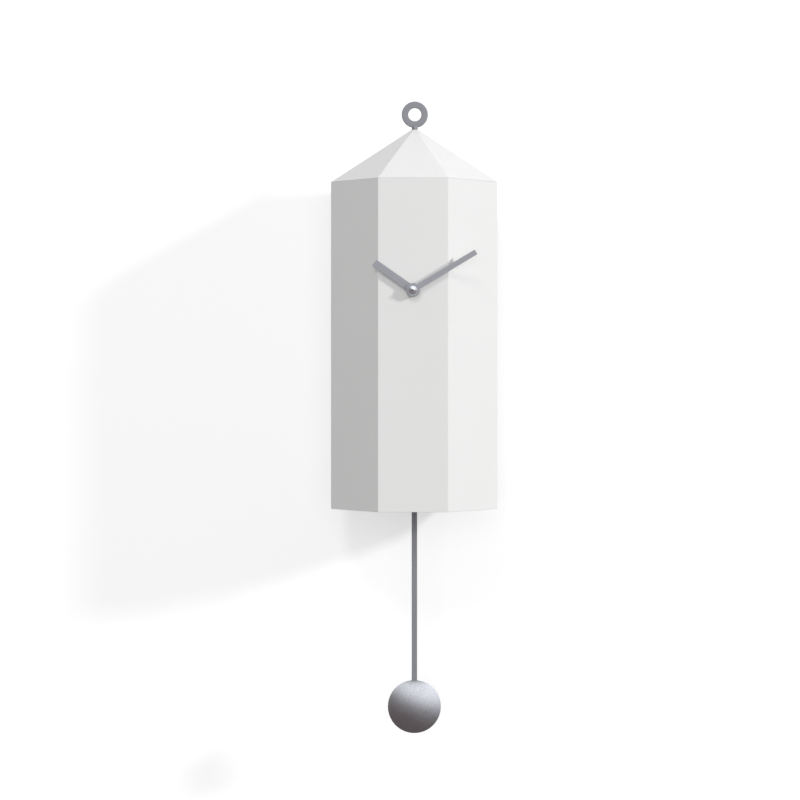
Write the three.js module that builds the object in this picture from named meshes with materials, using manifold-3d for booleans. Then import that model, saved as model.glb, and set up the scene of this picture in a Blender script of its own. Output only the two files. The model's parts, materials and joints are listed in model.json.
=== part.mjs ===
// Octagonal wall clock with a swinging pendulum, an electronic cuckoo call and a hanging ring.
// Millimetres, +Z up. The front faces -Y, the wall is the plane Y = 0, and the origin lies on the
// back panel's outer face, directly behind the arbor that carries the hands.

import * as THREE from 'three';
import { mergeVertices } from 'three/addons/utils/BufferGeometryUtils.js';
import Module from 'manifold-3d';

const wasm = await Module();
wasm.setup();

// ---------------------------------------------------------------- driving dimensions

const GAP = 0.3; // clearance kept between neighbouring pieces
const RUN = 0.1; // radial clearance of a running fit
const STEPS = 16; // facets of a small round
const FINE = 32; // facets of a large round
const COARSE = 12; // facets of a screw and of its hole

const CASE = { across: 150, sheet: 1.2, bottom: -196, top: 98.8 };
const HALF = CASE.across / 2;
const MID_Y = -HALF; // the case's own axis
const FRONT = -CASE.across; // outer face of the front facet
const INSIDE = HALF - CASE.sheet; // apothem of the case's inner faces
const SHAFT_HOLE = 4.4;

const ROOF = { eave: 99.1, rise: 52.4, tipApothem: 2.9, sheet: 1.2, bossZ: 143.5, lipDepth: 11 };
const ROOF_SLOPE = ROOF.rise / HALF;

const RING = { z: 163.4, outer: 12, inner: 6.05, thick: 3.2, edge: 0.5, stem: 2.75, stud: 2 };
const RING_WASHER = { outer: 6, thick: 1 };
const RING_NUT = { acrossFlats: 7, height: 3.2 };

const PANEL = { half: 29, thick: 1.5, bottom: -195.5, top: 93 };
const FLANGE = { back: -1.8, thick: 1.2, half: 32.4, openHalf: 23, openBottom: -184, openTop: 85 };
const KEYHOLE = { z: 62, entry: 4.6, slot: 2.5, slotTop: 72 };
const HANGER = { half: 16, bottom: 48, top: 82, thick: 1.6 };
const DOOR = { half: 18.7, bottom: -123.7, top: -68.3, thick: 1.2 };
const TONGUE = { half: 4, reach: -4.2, thick: 1, inset: 0.8 };
const GRIP = { ribs: 4, half: 8, width: 1.2, pitch: 2.4, below: 8, depth: 0.5 };

const BASE = { bottom: -192, thick: 1.5 };
const BASE_TOP = BASE.bottom + BASE.thick;
const TAB = { bottom: BASE_TOP + 0.4, thick: 1.2, reach: 12, half: 8 };
const SLOT = { half: 28, width: 10 };
const SOUND_SLOTS = { rows: 3, pitch: 5, radius: 20, width: 2.4 };
const PILLAR = { outer: 2.6, bore: 1.1 };

const PENDULUM = { y: -95, pivotZ: 24, eyeZ: -30, bobZ: -375.7, bobRadius: 24 };
const ROD = { half: 2.45, thick: 1.5, eye: 4.2, eyeBore: 1.5, belowBob: 14 };
const ARM = { front: -100.5, back: -98, half: 3.5, hub: 5, end: -34, hook: 1.2 };
const ARM_MAGNET = { radius: 5, thick: 2.4 };
const DOME = { rimY: -96.6, cornerY: -98.4, frontY: -108.4, wall: 1, steps: 4 };
const BOB_BACK = { radius: 22.6, front: -97.3, back: -96.2 };
const CLIP = { half: 5, halfHigh: 10, front: -95.9, wall: 1.2 };

const TIME = { hours: 10, minutes: 9.83 };
const HAND = { thick: 0.8, hub: 6, corner: 0.6, hourBack: -152.9, minuteBack: -155.2 };
const HOUR = { length: 41.5, width: 6.5, bore: 2.8 };
const MINUTE = { length: 64.7, width: 4.7, bore: 1.8 };
const CAP = { radius: 3.2, bore: 1.8, boreDepth: 1.6, skirt: 0.9, dome: 2.4, steps: 5 };

const MOVEMENT = { half: 28, wall: 1.4, front: FRONT + CASE.sheet + GAP, depth: 15, coverThick: 1.7 };
const MOVEMENT_BACK = MOVEMENT.front + MOVEMENT.depth;
const COVER_BACK = MOVEMENT_BACK + GAP + MOVEMENT.coverThick;
const BUSH = { outer: 4, bore: 2.65, front: -152.4 };
const FIXING = { washer: 6, washerThick: 0.7, acrossFlats: 10, nutFront: -152.2 };
const ARBOR = { centre: 1.5, sleeve: 2.5, sleeveBore: 1.7, post: 0.9, postBore: 1.05, setting: 2 };
const SETTING_KNOB = { radius: 6, thick: 3.2, grooves: 18, groove: 0.5, grooveAt: 6.2 };
const COIL = { x: -20, y: -140.2, radius: 3.6, half: 13, coreHalf: 1.2 };
const STATOR = { left: -25, right: -12.5, halfThick: 0.4, halfHigh: 21, windowHalf: 13.5, hole: 2.2 };

const TRAIN = { pitch: 12, tooth: 1.2, minuteLayer: -141.4, hourLayer: -144.3, centreLayer: -137.7 };
const CANNON = { teeth: 12, module: 0.5 };
const MINUTE_WHEEL = { teeth: 36, module: 0.5, angle: 45 };
const MINUTE_PINION = { teeth: 10, module: 0.48 };
const HOUR_WHEEL = { teeth: 40, module: 0.48 };
const SETTING = { teeth: 12, module: 0.5, angle: 40 };
const CENTRE_WHEEL = { teeth: 30, module: 0.6 };

const DRIVE = { half: 28, bottom: -46, top: 34, wall: 1.5, front: COVER_BACK + GAP, back: -104 };
const CAVITY = { back: -112, bottom: -26.5 };
const DRIVE_COIL = { z: -14, outer: 9, inner: 3.5 };
const PIN = { radius: 1.5, head: 2.6, headThick: 1 };
const CELL = { radius: 7.1, body: 49, nub: 1.2, nubRadius: 2.6 };
const CLOCK_CELL = { y: -112, z: -36.5 };

const HOLDER = { half: 21, back: FLANGE.back, front: -21, bottom: -126.5, top: -65.5, wall: 1.5 };
const SPEAKER = { y: -45, flange: 26, basket: 14, height: 11, magnet: 13, magnetThick: 8 };
const BOARD = { half: 38, front: -134, back: -107, bottom: -183, thick: 1.6, hole: 1.4 };
const CONTROL = { low: -194.5, y: -120, volumeX: -27, modeX: 27 };
const VOLUME = { radius: 7, top: -187.5, notches: 12, notch: 0.9, notchAt: 7.3, shaft: 2.5 };
const BUTTON = { radius: 3.5, face: 3.2, chamfer: 0.6, flange: 5, stem: 2 };
const MODE = { half: 2.5, deep: 2, flangeHalf: 9, flangeDeep: 4, thick: 1.2 };
const SENSOR = { radius: 2.5, flange: 3.8, shoulder: 0.3, steps: 4 };

const SCREW = { shank: 1, pilot: 1.3, clearance: 1.6, sink: 2.3, head: 2.6, headTop: 2.1, headHigh: 1.5 };
const backScrews = [[-26, -188], [-26, 89], [26, -188], [26, 89]];
const baseScrews = [[-66, MID_Y], [66, MID_Y], [0, -141.5], [0, -9.5]];
const boardScrews = [[-33, -112], [33, -112]];
const sensorPlace = [-50, -100];

// ---------------------------------------------------------------- materials

function material(color, roughness, metalness) {
  return new THREE.MeshStandardMaterial({ color, roughness, metalness });
}

const WHITE = material(0xe9e8e6, 0.6, 0.0);
const HAND_GREY = material(0x9a9ba1, 0.5, 0.35);
const ROD_GREY = material(0x8f9096, 0.5, 0.4);
const BOB = material(0xa2a1a2, 0.35, 0.8);
const CHROME = material(0xd9dadb, 0.15, 1.0);
const STEEL = material(0xb0b2b4, 0.35, 1.0);
const BLACK = material(0x202124, 0.55, 0.0);
const IVORY = material(0xdedbd0, 0.5, 0.0);
const BRASS = material(0xb59a5a, 0.3, 1.0);
const COPPER = material(0xa5603a, 0.4, 0.9);
const BOARD_GREEN = material(0x2d5a3a, 0.5, 0.0);
const CELL_SLEEVE = material(0x3c4148, 0.4, 0.1);
const PAPER = material(0x2a2a2a, 0.9, 0.0);
const LENS = material(0x30343a, 0.1, 0.0);

// ---------------------------------------------------------------- solids

// A closed geometry as a solid: only positions, shared vertices merged, faces turned outwards.
function solid(geometry) {
  const plain = geometry.clone();
  plain.deleteAttribute('normal');
  plain.deleteAttribute('uv');
  const merged = mergeVertices(plain, 1e-4);
  const points = merged.attributes.position.array;
  const faces = Uint32Array.from(merged.index.array);
  if (signedVolume(points, faces) < 0) {
    for (let i = 0; i < faces.length; i += 3) {
      [faces[i], faces[i + 1]] = [faces[i + 1], faces[i]];
    }
  }
  const vertProperties = Float32Array.from(points);
  return new wasm.Manifold(new wasm.Mesh({ numProp: 3, vertProperties, triVerts: faces }));
}

function signedVolume(points, faces) {
  const a = new THREE.Vector3();
  const b = new THREE.Vector3();
  const c = new THREE.Vector3();
  let volume = 0;
  for (let i = 0; i < faces.length; i += 3) {
    a.fromArray(points, 3 * faces[i]);
    b.fromArray(points, 3 * faces[i + 1]);
    c.fromArray(points, 3 * faces[i + 2]);
    volume += a.dot(b.cross(c)) / 6;
  }
  return volume;
}

function join(first, ...others) {
  return others.reduce((whole, piece) => whole.add(piece), first);
}

function cut(first, ...others) {
  return others.reduce((whole, piece) => whole.subtract(piece), first);
}

function toGeometry(whole) {
  const mesh = whole.getMesh();
  const geometry = new THREE.BufferGeometry();
  geometry.setAttribute('position', new THREE.BufferAttribute(Float32Array.from(mesh.vertProperties), 3));
  geometry.setIndex(new THREE.BufferAttribute(Uint32Array.from(mesh.triVerts), 1));
  geometry.computeVertexNormals();
  return geometry;
}

function box([x0, x1], [y0, y1], [z0, z1]) {
  const block = new THREE.BoxGeometry(x1 - x0, y1 - y0, z1 - z0);
  return solid(block.translate((x0 + x1) / 2, (y0 + y1) / 2, (z0 + z1) / 2));
}

// Round bar along Y between y0 and y1, centred on (x, z); the second radius is the one at y1.
function barY(radius, [y0, y1], [x, z] = [0, 0], { sides = STEPS, endRadius = radius } = {}) {
  const bar = new THREE.CylinderGeometry(endRadius, radius, y1 - y0, sides);
  return solid(bar.translate(x, (y0 + y1) / 2, z));
}

// Round bar along Z between z0 and z1, centred on (x, y); the second radius is the one at z1.
function barZ(radius, [z0, z1], [x, y] = [0, 0], { sides = STEPS, endRadius = radius } = {}) {
  const bar = new THREE.CylinderGeometry(endRadius, radius, z1 - z0, sides);
  return solid(bar.rotateX(Math.PI / 2).translate(x, y, (z0 + z1) / 2));
}

// Octagonal block on the case's axis with a flat towards each of X and Y.
function octagon(apothem, [z0, z1], endApothem = apothem) {
  const corner = Math.cos(Math.PI / 8);
  const block = new THREE.CylinderGeometry(endApothem / corner, apothem / corner, z1 - z0, 8);
  return solid(block.rotateY(Math.PI / 8).rotateX(Math.PI / 2).translate(0, MID_Y, (z0 + z1) / 2));
}

// Plate parallel to the wall: a straight-sided outline in X and Z, its back face at y.
function plate(outline, y, thick) {
  const slab = new THREE.ExtrudeGeometry(outline, { depth: thick, bevelEnabled: false });
  return solid(slab.rotateX(Math.PI / 2).translate(0, y, 0));
}

// Turned piece about the Y axis: a profile of [radius, y] that is closed or starts and ends on it.
function turnedY(profile, sides = STEPS) {
  return solid(new THREE.LatheGeometry(profile.map(([r, y]) => new THREE.Vector2(r, y)), sides));
}

// Turned piece about the Z axis.
function turnedZ(profile, sides = STEPS) {
  const points = profile.map(([r, z]) => new THREE.Vector2(r, -z));
  return solid(new THREE.LatheGeometry(points, sides).rotateX(-Math.PI / 2));
}

// ---------------------------------------------------------------- assembly

const clock = new THREE.Group();

function place(name, whole, finish, [x, y, z] = [0, 0, 0], parent = clock) {
  const mesh = new THREE.Mesh(toGeometry(whole), finish);
  mesh.name = name;
  mesh.position.set(x, y, z);
  parent.add(mesh);
}

// ---------------------------------------------------------------- case

// Screw holes along Y or Z through a span, one at each place.
function holesY(radius, span, places) {
  return places.map((at) => barY(radius, span, at, { sides: COARSE }));
}

function holesZ(radius, span, places) {
  return places.map((at) => barZ(radius, span, at, { sides: COARSE }));
}

function caseShell() {
  const height = [CASE.bottom, CASE.top];
  const tube = cut(octagon(HALF, height), octagon(INSIDE, [CASE.bottom - 1, CASE.top + 1]));
  const panelRecess = PANEL.half + GAP;
  const rearCut = box([-panelRecess, panelRecess], [FLANGE.back, 1], [CASE.bottom - 1, PANEL.top + GAP]);
  const flange = box(
    [-FLANGE.half, FLANGE.half],
    [FLANGE.back - FLANGE.thick, FLANGE.back],
    [CASE.bottom + 1, PANEL.top + 2],
  );
  const flangeOpening = box(
    [-FLANGE.openHalf, FLANGE.openHalf],
    [FLANGE.back - 2, 1],
    [FLANGE.openBottom, FLANGE.openTop],
  );
  const tabHeight = [TAB.bottom, TAB.bottom + TAB.thick];
  const across = [-TAB.half, TAB.half];
  const along = [MID_Y - TAB.half, MID_Y + TAB.half];
  const seat = INSIDE + CASE.sheet / 2;
  const tabs = [
    box([-seat, TAB.reach - seat], along, tabHeight),
    box([seat - TAB.reach, seat], along, tabHeight),
    box(across, [MID_Y - seat, MID_Y - seat + TAB.reach], tabHeight),
    box(across, [-TAB.reach - 2, FLANGE.back - 0.6], tabHeight),
  ];
  const shaftHole = barY(SHAFT_HOLE, [FRONT - 1, FRONT + 3]);
  const screwHoles = holesZ(SCREW.pilot, [TAB.bottom - 1, TAB.bottom + 3], baseScrews);
  const flangeHoles = holesY(SCREW.pilot, [FLANGE.back - 2, 0], backScrews);
  const bare = cut(tube, rearCut);
  return cut(join(bare, cut(flange, flangeOpening), ...tabs), shaftHole, ...screwHoles, ...flangeHoles);
}

function roofTip() {
  return ROOF.eave + (HALF - ROOF.tipApothem) * ROOF_SLOPE;
}

function roof() {
  const skin = octagon(HALF, [ROOF.eave, roofTip()], ROOF.tipApothem);
  const skinWidth = ROOF.sheet * Math.hypot(1, ROOF_SLOPE) / ROOF_SLOPE;
  const innerEave = HALF - skinWidth;
  const innerTop = innerEave - (ROOF.bossZ - ROOF.eave) / ROOF_SLOPE;
  const hollow = octagon(innerEave, [ROOF.eave, ROOF.bossZ], innerTop);
  const lipOuter = INSIDE - GAP;
  const lipHeight = [ROOF.eave - ROOF.lipDepth, ROOF.eave + 1];
  const lip = cut(octagon(lipOuter, lipHeight), octagon(lipOuter - ROOF.sheet, [0, ROOF.eave + 2]));
  const rearNotch = box([-FLANGE.half - 1.6, FLANGE.half + 1.6], [-6, 1], [0, ROOF.eave - RUN]);
  const stemHole = barZ(RING.stud + 0.2, [ROOF.bossZ - 1, roofTip() + 1], [0, MID_Y]);
  return cut(join(cut(skin, hollow), cut(lip, rearNotch)), stemHole);
}

function keyhole(y0, y1) {
  const entry = barY(KEYHOLE.entry, [y0, y1], [0, KEYHOLE.z]);
  const slot = box([-KEYHOLE.slot, KEYHOLE.slot], [y0, y1], [KEYHOLE.z, KEYHOLE.slotTop]);
  return join(entry, slot, barY(KEYHOLE.slot, [y0, y1], [0, KEYHOLE.slotTop]));
}

function backPanel() {
  const sheet = box([-PANEL.half, PANEL.half], [-PANEL.thick, 0], [PANEL.bottom, PANEL.top]);
  const opening = box(
    [-DOOR.half - GAP, DOOR.half + GAP],
    [-PANEL.thick - 1, 1],
    [DOOR.bottom - GAP, DOOR.top + GAP],
  );
  const sinks = backScrews.map((at) => (
    barY(SCREW.shank + 0.2, [-PANEL.thick - RUN, RUN], at, { endRadius: SCREW.sink + 0.6 })
  ));
  return cut(sheet, opening, keyhole(-PANEL.thick - 1, 1), ...sinks);
}

function hangerPlate() {
  const back = -PANEL.thick - GAP;
  const strap = box([-HANGER.half, HANGER.half], [back - HANGER.thick, back], [HANGER.bottom, HANGER.top]);
  return cut(strap, keyhole(back - HANGER.thick - 1, back + 1));
}

function basePlate() {
  const sheet = octagon(INSIDE - GAP, [BASE.bottom, BASE_TOP]);
  const through = [BASE.bottom - 1, BASE_TOP + 1];
  const rearEdge = box([-40, 40], [FLANGE.back - FLANGE.thick - 0.4, 1], through);
  const half = SLOT.width / 2;
  const straight = SLOT.half - half;
  const slot = join(
    box([-straight, straight], [PENDULUM.y - half, PENDULUM.y + half], through),
    barZ(half, through, [-straight, PENDULUM.y]),
    barZ(half, through, [straight, PENDULUM.y]),
  );
  const soundSlots = [];
  const { rows, pitch, radius, width } = SOUND_SLOTS;
  for (let row = -rows; row <= rows; row += 1) {
    const reach = Math.sqrt(radius ** 2 - (row * pitch) ** 2);
    const y = SPEAKER.y + row * pitch;
    soundSlots.push(box([-reach, reach], [y - width / 2, y + width / 2], through));
  }
  const pillars = boardScrews.map((at) => barZ(PILLAR.outer, [BASE_TOP - 0.5, BOARD.bottom - GAP], at));
  const pillarHoles = holesZ(PILLAR.bore, [BASE_TOP, BOARD.bottom + 1], boardScrews);
  const modeSpan = [CONTROL.modeX - 2 * MODE.half - 0.9, CONTROL.modeX + 2 * MODE.half + 0.9];
  const modeDeep = [CONTROL.y - MODE.deep - 0.4, CONTROL.y + MODE.deep + 0.4];
  const holes = [
    barZ(VOLUME.radius + 0.4, through, [CONTROL.volumeX, CONTROL.y]),
    barZ(BUTTON.radius + 0.4, through, [0, CONTROL.y]),
    barZ(SENSOR.radius + GAP, through, sensorPlace),
    box(modeSpan, modeDeep, through),
    ...holesZ(SCREW.clearance, through, baseScrews),
  ];
  return cut(join(cut(sheet, rearEdge), ...pillars), slot, ...soundSlots, ...holes, ...pillarHoles);
}

function countersunkScrew(length) {
  const { shank, sink } = SCREW;
  return turnedY([[0, -length], [shank, -length], [shank, -1.3], [sink, -0.1], [0, -0.1]], COARSE);
}

// Pan head screw that points up, its head's seat at z = 0.
function panScrewUp(length) {
  const { shank, head, headTop, headHigh } = SCREW;
  return turnedZ([
    [0, -headHigh],
    [headTop, -headHigh],
    [head, 0],
    [shank, 0],
    [shank, length],
    [0, length],
  ], COARSE);
}

// ---------------------------------------------------------------- hanging ring

function hangingRing() {
  const half = RING.thick / 2;
  const edge = RING.edge;
  const eye = turnedY([
    [RING.inner + edge, -half],
    [RING.outer - edge, -half],
    [RING.outer, edge - half],
    [RING.outer, half - edge],
    [RING.outer - edge, half],
    [RING.inner + edge, half],
    [RING.inner, half - edge],
    [RING.inner, edge - half],
    [RING.inner + edge, -half],
  ], FINE);
  const seat = roofTip() + GAP - RING.z;
  const neck = barZ(RING.stem, [seat, 0.6 - RING.outer], [0, 0]);
  const stud = barZ(RING.stud, [ROOF.bossZ - 7 - RING.z, seat + 0.5], [0, 0]);
  return join(eye, neck, stud);
}

function washerZ(outer, bore, thick) {
  return cut(barZ(outer, [0, thick], [0, 0]), barZ(bore, [-1, thick + 1], [0, 0]));
}

function hexNutZ(acrossFlats, bore, height) {
  const corner = acrossFlats / Math.sqrt(3);
  return cut(barZ(corner, [0, height], [0, 0], { sides: 6 }), barZ(bore, [-1, height + 1], [0, 0]));
}

// ---------------------------------------------------------------- gears

// Polar angle of the point at `radius` on the involute of a base circle.
function involuteAngle(base, radius) {
  if (radius <= base) return 0;
  const pressure = Math.acos(base / radius);
  return Math.tan(pressure) - pressure;
}

// Outline of a spur gear in X and Z, its first tooth centred on `phase` degrees from +X.
function gearOutline({ teeth, module }, phase) {
  const pressure = THREE.MathUtils.degToRad(20);
  const pitch = teeth * module / 2;
  const base = pitch * Math.cos(pressure);
  const tip = pitch + 0.75 * module;
  const root = pitch - 1.05 * module;
  const backlash = 0.12 * module;
  const halfTooth = Math.PI / (2 * teeth) - backlash / pitch + involuteAngle(base, pitch);
  const flank = [root, tip].map((radius) => [radius, halfTooth - involuteAngle(base, radius)]);
  const points = [];
  for (let tooth = 0; tooth < teeth; tooth += 1) {
    const centre = THREE.MathUtils.degToRad(phase) + 2 * Math.PI * tooth / teeth;
    const rising = flank.map(([radius, half]) => [radius, centre - half]);
    const falling = flank.map(([radius, half]) => [radius, centre + half]).reverse();
    for (const [radius, angle] of [...rising, ...falling]) {
      points.push(new THREE.Vector2(radius * Math.cos(angle), radius * Math.sin(angle)));
    }
  }
  return new THREE.Shape(points);
}

// Phase of the gear that meshes with one of known phase, on a centre line at `line` degrees.
function meshPhase(first, firstPhase, second, line) {
  const along = (line - firstPhase) * first.teeth / 360;
  return line + 180 - (0.5 - along) * 360 / second.teeth;
}

function onCircle(radius, degrees) {
  const angle = THREE.MathUtils.degToRad(degrees);
  return [radius * Math.cos(angle), radius * Math.sin(angle)];
}

const minuteWheelAt = onCircle(TRAIN.pitch, MINUTE_WHEEL.angle);
const settingReach = onCircle(TRAIN.pitch, SETTING.angle);
const settingAt = [minuteWheelAt[0] + settingReach[0], minuteWheelAt[1] + settingReach[1]];
const minuteWheelPhase = meshPhase(CANNON, 0, MINUTE_WHEEL, MINUTE_WHEEL.angle);
const hourPhase = meshPhase(MINUTE_PINION, 0, HOUR_WHEEL, MINUTE_WHEEL.angle + 180);
const settingPhase = meshPhase(MINUTE_WHEEL, minuteWheelPhase, SETTING, SETTING.angle);

function centreWheel() {
  return join(
    barY(ARBOR.centre, [capSeat() - CAP.boreDepth + 0.4, COVER_BACK + 1]),
    plate(gearOutline(CANNON, 0), TRAIN.minuteLayer, TRAIN.tooth),
    plate(gearOutline(CENTRE_WHEEL, 0), TRAIN.centreLayer, 0.8),
  );
}

function hourWheel() {
  const sleeve = barY(ARBOR.sleeve, [HAND.hourBack - HAND.thick - GAP, TRAIN.hourLayer]);
  const wheel = plate(gearOutline(HOUR_WHEEL, hourPhase), TRAIN.hourLayer, TRAIN.tooth);
  return cut(join(sleeve, wheel), barY(ARBOR.sleeveBore, [FRONT - 10, TRAIN.hourLayer + 1]));
}

function minuteWheel() {
  const wheel = plate(gearOutline(MINUTE_WHEEL, minuteWheelPhase), TRAIN.minuteLayer, TRAIN.tooth);
  const pinion = plate(gearOutline(MINUTE_PINION, 0), TRAIN.hourLayer + 0.4, TRAIN.tooth + 0.5);
  const hub = barY(2, [TRAIN.hourLayer, TRAIN.minuteLayer - 0.5]);
  return cut(join(wheel, pinion, hub), barY(ARBOR.postBore, [FRONT, COVER_BACK]));
}

function settingKnob() {
  const { radius, thick, groove, grooveAt } = SETTING_KNOB;
  const knobFront = DRIVE.back + GAP;
  const grooves = [];
  for (let step = 0; step < SETTING_KNOB.grooves; step += 1) {
    const at = onCircle(grooveAt, step * 360 / SETTING_KNOB.grooves);
    grooves.push(barY(groove, [knobFront - 1, knobFront + thick + 1], at, { sides: 6 }));
  }
  const knob = cut(barY(radius, [knobFront, knobFront + thick], [0, 0], { sides: FINE }), ...grooves);
  const shaft = barY(ARBOR.setting, [TRAIN.minuteLayer - 3, knobFront + 1]);
  return join(knob, shaft, plate(gearOutline(SETTING, settingPhase), TRAIN.minuteLayer, TRAIN.tooth));
}

// ---------------------------------------------------------------- hands

// Straight baton from the hub's centre towards `degrees` clockwise from twelve o'clock.
function hand({ length, width, bore }, degrees, back) {
  const { thick, hub, corner } = HAND;
  const half = width / 2;
  const side = [[half, 0], [half, length - corner], [half - corner, length]];
  const otherSide = side.map(([x, z]) => [-x, z]).reverse();
  const blade = new THREE.Shape([...side, ...otherSide].map(([x, z]) => new THREE.Vector2(x, z)));
  const baton = plate(blade, 0, thick).rotate([0, degrees, 0]);
  const disc = barY(hub, [-thick, 0], [0, 0], { sides: FINE });
  return cut(join(baton, disc), barY(bore, [-thick - 1, 1])).translate([0, back, 0]);
}

const minuteDegrees = TIME.minutes * 6;
const hourDegrees = (TIME.hours + TIME.minutes / 60) * 30;

function capSeat() {
  return HAND.minuteBack - HAND.thick - GAP;
}

function capNut() {
  const { radius, bore, boreDepth, skirt, dome, steps } = CAP;
  const seat = capSeat();
  const profile = [[0, seat - boreDepth], [bore, seat - boreDepth], [bore, seat], [radius, seat]];
  for (let step = 0; step < steps; step += 1) {
    const [across, rise] = onCircle(1, step * 90 / steps);
    profile.push([radius * across, seat - skirt - dome * rise]);
  }
  profile.push([0, seat - skirt - dome]);
  return turnedY(profile);
}

// ---------------------------------------------------------------- movement

function movementHousing() {
  const { half, wall, front } = MOVEMENT;
  const block = box([-half, half], [front, MOVEMENT_BACK], [-half, half]);
  const inner = half - wall;
  const hollow = box([-inner, inner], [front + wall, MOVEMENT_BACK + 1], [-inner, inner]);
  const bush = barY(BUSH.outer, [BUSH.front, front + 0.5]);
  const post = barY(ARBOR.post, [front + 0.5, TRAIN.minuteLayer + 0.8], minuteWheelAt);
  const bore = barY(BUSH.bore, [BUSH.front - 1, front + wall + 1]);
  return cut(join(cut(block, hollow), bush, post), bore);
}

function movementCover() {
  const { half } = MOVEMENT;
  const sheet = box([-half, half], [MOVEMENT_BACK + GAP, COVER_BACK], [-half, half]);
  const span = [MOVEMENT_BACK - 1, COVER_BACK + 1];
  return cut(sheet, barY(ARBOR.centre + RUN, span), barY(ARBOR.setting + RUN, span, settingAt));
}

const bushClearance = () => barY(BUSH.outer + GAP, [FRONT - 10, FRONT + 10]);
const washerFront = FRONT - GAP - FIXING.washerThick;

function fixingNut() {
  const corner = FIXING.acrossFlats / Math.sqrt(3);
  const nut = barY(corner, [FIXING.nutFront, washerFront - GAP], [0, 0], { sides: 6 });
  return cut(nut, bushClearance());
}

function fixingWasher() {
  return cut(barY(FIXING.washer, [washerFront, FRONT - GAP]), bushClearance());
}

// I-shaped frame: its web is the coil's core.
function stator() {
  const { left, right, halfThick, halfHigh, windowHalf } = STATOR;
  const through = [COIL.y - 2, COIL.y + 2];
  const windowHeight = [-windowHalf, windowHalf];
  const frame = box([left, right], [COIL.y - halfThick, COIL.y + halfThick], [-halfHigh, halfHigh]);
  const rightWindow = box([COIL.x + COIL.coreHalf, right + 1], through, windowHeight);
  const leftWindow = box([left - 1, COIL.x - COIL.coreHalf], through, windowHeight);
  return cut(frame, rightWindow, leftWindow, barY(STATOR.hole, through, [-16, -17.5]));
}

function motorCoil() {
  const winding = barZ(COIL.radius, [-COIL.half, COIL.half], [COIL.x, COIL.y]);
  const sideways = COIL.coreHalf + GAP;
  const deep = STATOR.halfThick + GAP;
  const core = box(
    [COIL.x - sideways, COIL.x + sideways],
    [COIL.y - deep, COIL.y + deep],
    [-COIL.half - 1, COIL.half + 1],
  );
  return cut(winding, core);
}

// ---------------------------------------------------------------- pendulum drive

function pendulumHousing() {
  const { half, bottom, top, wall, front, back } = DRIVE;
  const inner = half - wall;
  const opened = [CAVITY.back + 1, back + 1];
  const bayHeight = [bottom + wall, CLOCK_CELL.z + CELL.radius + 0.9];
  return cut(
    box([-half, half], [front, back], [bottom, top]),
    box([-inner, inner], [front - 1, CAVITY.back], [CAVITY.bottom, top - wall]),
    box([-inner, inner], [CLOCK_CELL.y - CELL.radius - 0.9, back + 1], bayHeight),
    barY(DRIVE_COIL.outer + GAP, opened, [0, DRIVE_COIL.z]),
    barY(PIN.radius + GAP, opened, [0, PENDULUM.pivotZ]),
    barY(ARBOR.setting + RUN, [CAVITY.back - 1, back + 1], settingAt),
  );
}

function driveCoil() {
  const span = [CAVITY.back + 1.3, DRIVE.back - GAP];
  const at = [0, DRIVE_COIL.z];
  return cut(barY(DRIVE_COIL.outer, span, at), barY(DRIVE_COIL.inner, [span[0] - 1, span[1] + 1], at));
}

function pivotPin() {
  const at = [0, PENDULUM.pivotZ];
  const headFront = ARM.back + GAP;
  return join(
    barY(PIN.radius, [CAVITY.back + 1.3, headFront + 0.5], at),
    barY(PIN.head, [headFront, headFront + PIN.headThick], at),
  );
}

function swingArm() {
  const span = [ARM.front, ARM.back];
  const arm = join(
    box([-ARM.half, ARM.half], span, [ARM.end, PENDULUM.pivotZ]),
    barY(ARM.hub, span, [0, PENDULUM.pivotZ]),
    barY(ARM.half, span, [0, ARM.end]),
    barY(ARM.hook, [ARM.back - 0.5, PENDULUM.y + 2.4], [0, PENDULUM.eyeZ]),
  );
  return cut(arm, barY(PIN.radius + RUN, [ARM.front - 1, ARM.back + 1], [0, PENDULUM.pivotZ]));
}

function pendulumRod() {
  const span = [PENDULUM.y - ROD.thick / 2, PENDULUM.y + ROD.thick / 2];
  const strip = box([-ROD.half, ROD.half], span, [PENDULUM.bobZ - ROD.belowBob, PENDULUM.eyeZ]);
  const eye = barY(ROD.eye, span, [0, PENDULUM.eyeZ]);
  return cut(join(strip, eye), barY(ROD.eyeBore, [span[0] - 1, span[1] + 1], [0, PENDULUM.eyeZ]));
}

// Arc of the dome from its corner to its centre: a circle through both, level at the centre.
function domeArc(radius, cornerY, frontY) {
  const rise = cornerY - frontY;
  const sphere = (radius ** 2 + rise ** 2) / (2 * rise);
  const opening = Math.asin(radius / sphere);
  const points = [];
  for (let step = 0; step <= DOME.steps; step += 1) {
    const angle = opening * (1 - step / DOME.steps);
    points.push([sphere * Math.sin(angle), frontY + sphere * (1 - Math.cos(angle))]);
  }
  points[DOME.steps][0] = 0;
  return points;
}

function bobShell() {
  const { rimY, cornerY, frontY, wall } = DOME;
  const radius = PENDULUM.bobRadius;
  const outside = domeArc(radius, cornerY, frontY);
  const inside = domeArc(radius - wall, cornerY, frontY + wall).reverse();
  return turnedY([...inside, [radius - wall, rimY], [radius, rimY], ...outside], FINE);
}

function bobClip() {
  const x = ROD.half + GAP;
  const y = PENDULUM.y + ROD.thick / 2 + GAP;
  const { half, halfHigh, front, wall } = CLIP;
  return cut(
    box([-half, half], [front, y + wall], [-halfHigh, halfHigh]),
    box([-x, x], [front - 1, y], [-halfHigh - 1, halfHigh + 1]),
  );
}

// ---------------------------------------------------------------- sound unit and batteries

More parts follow.
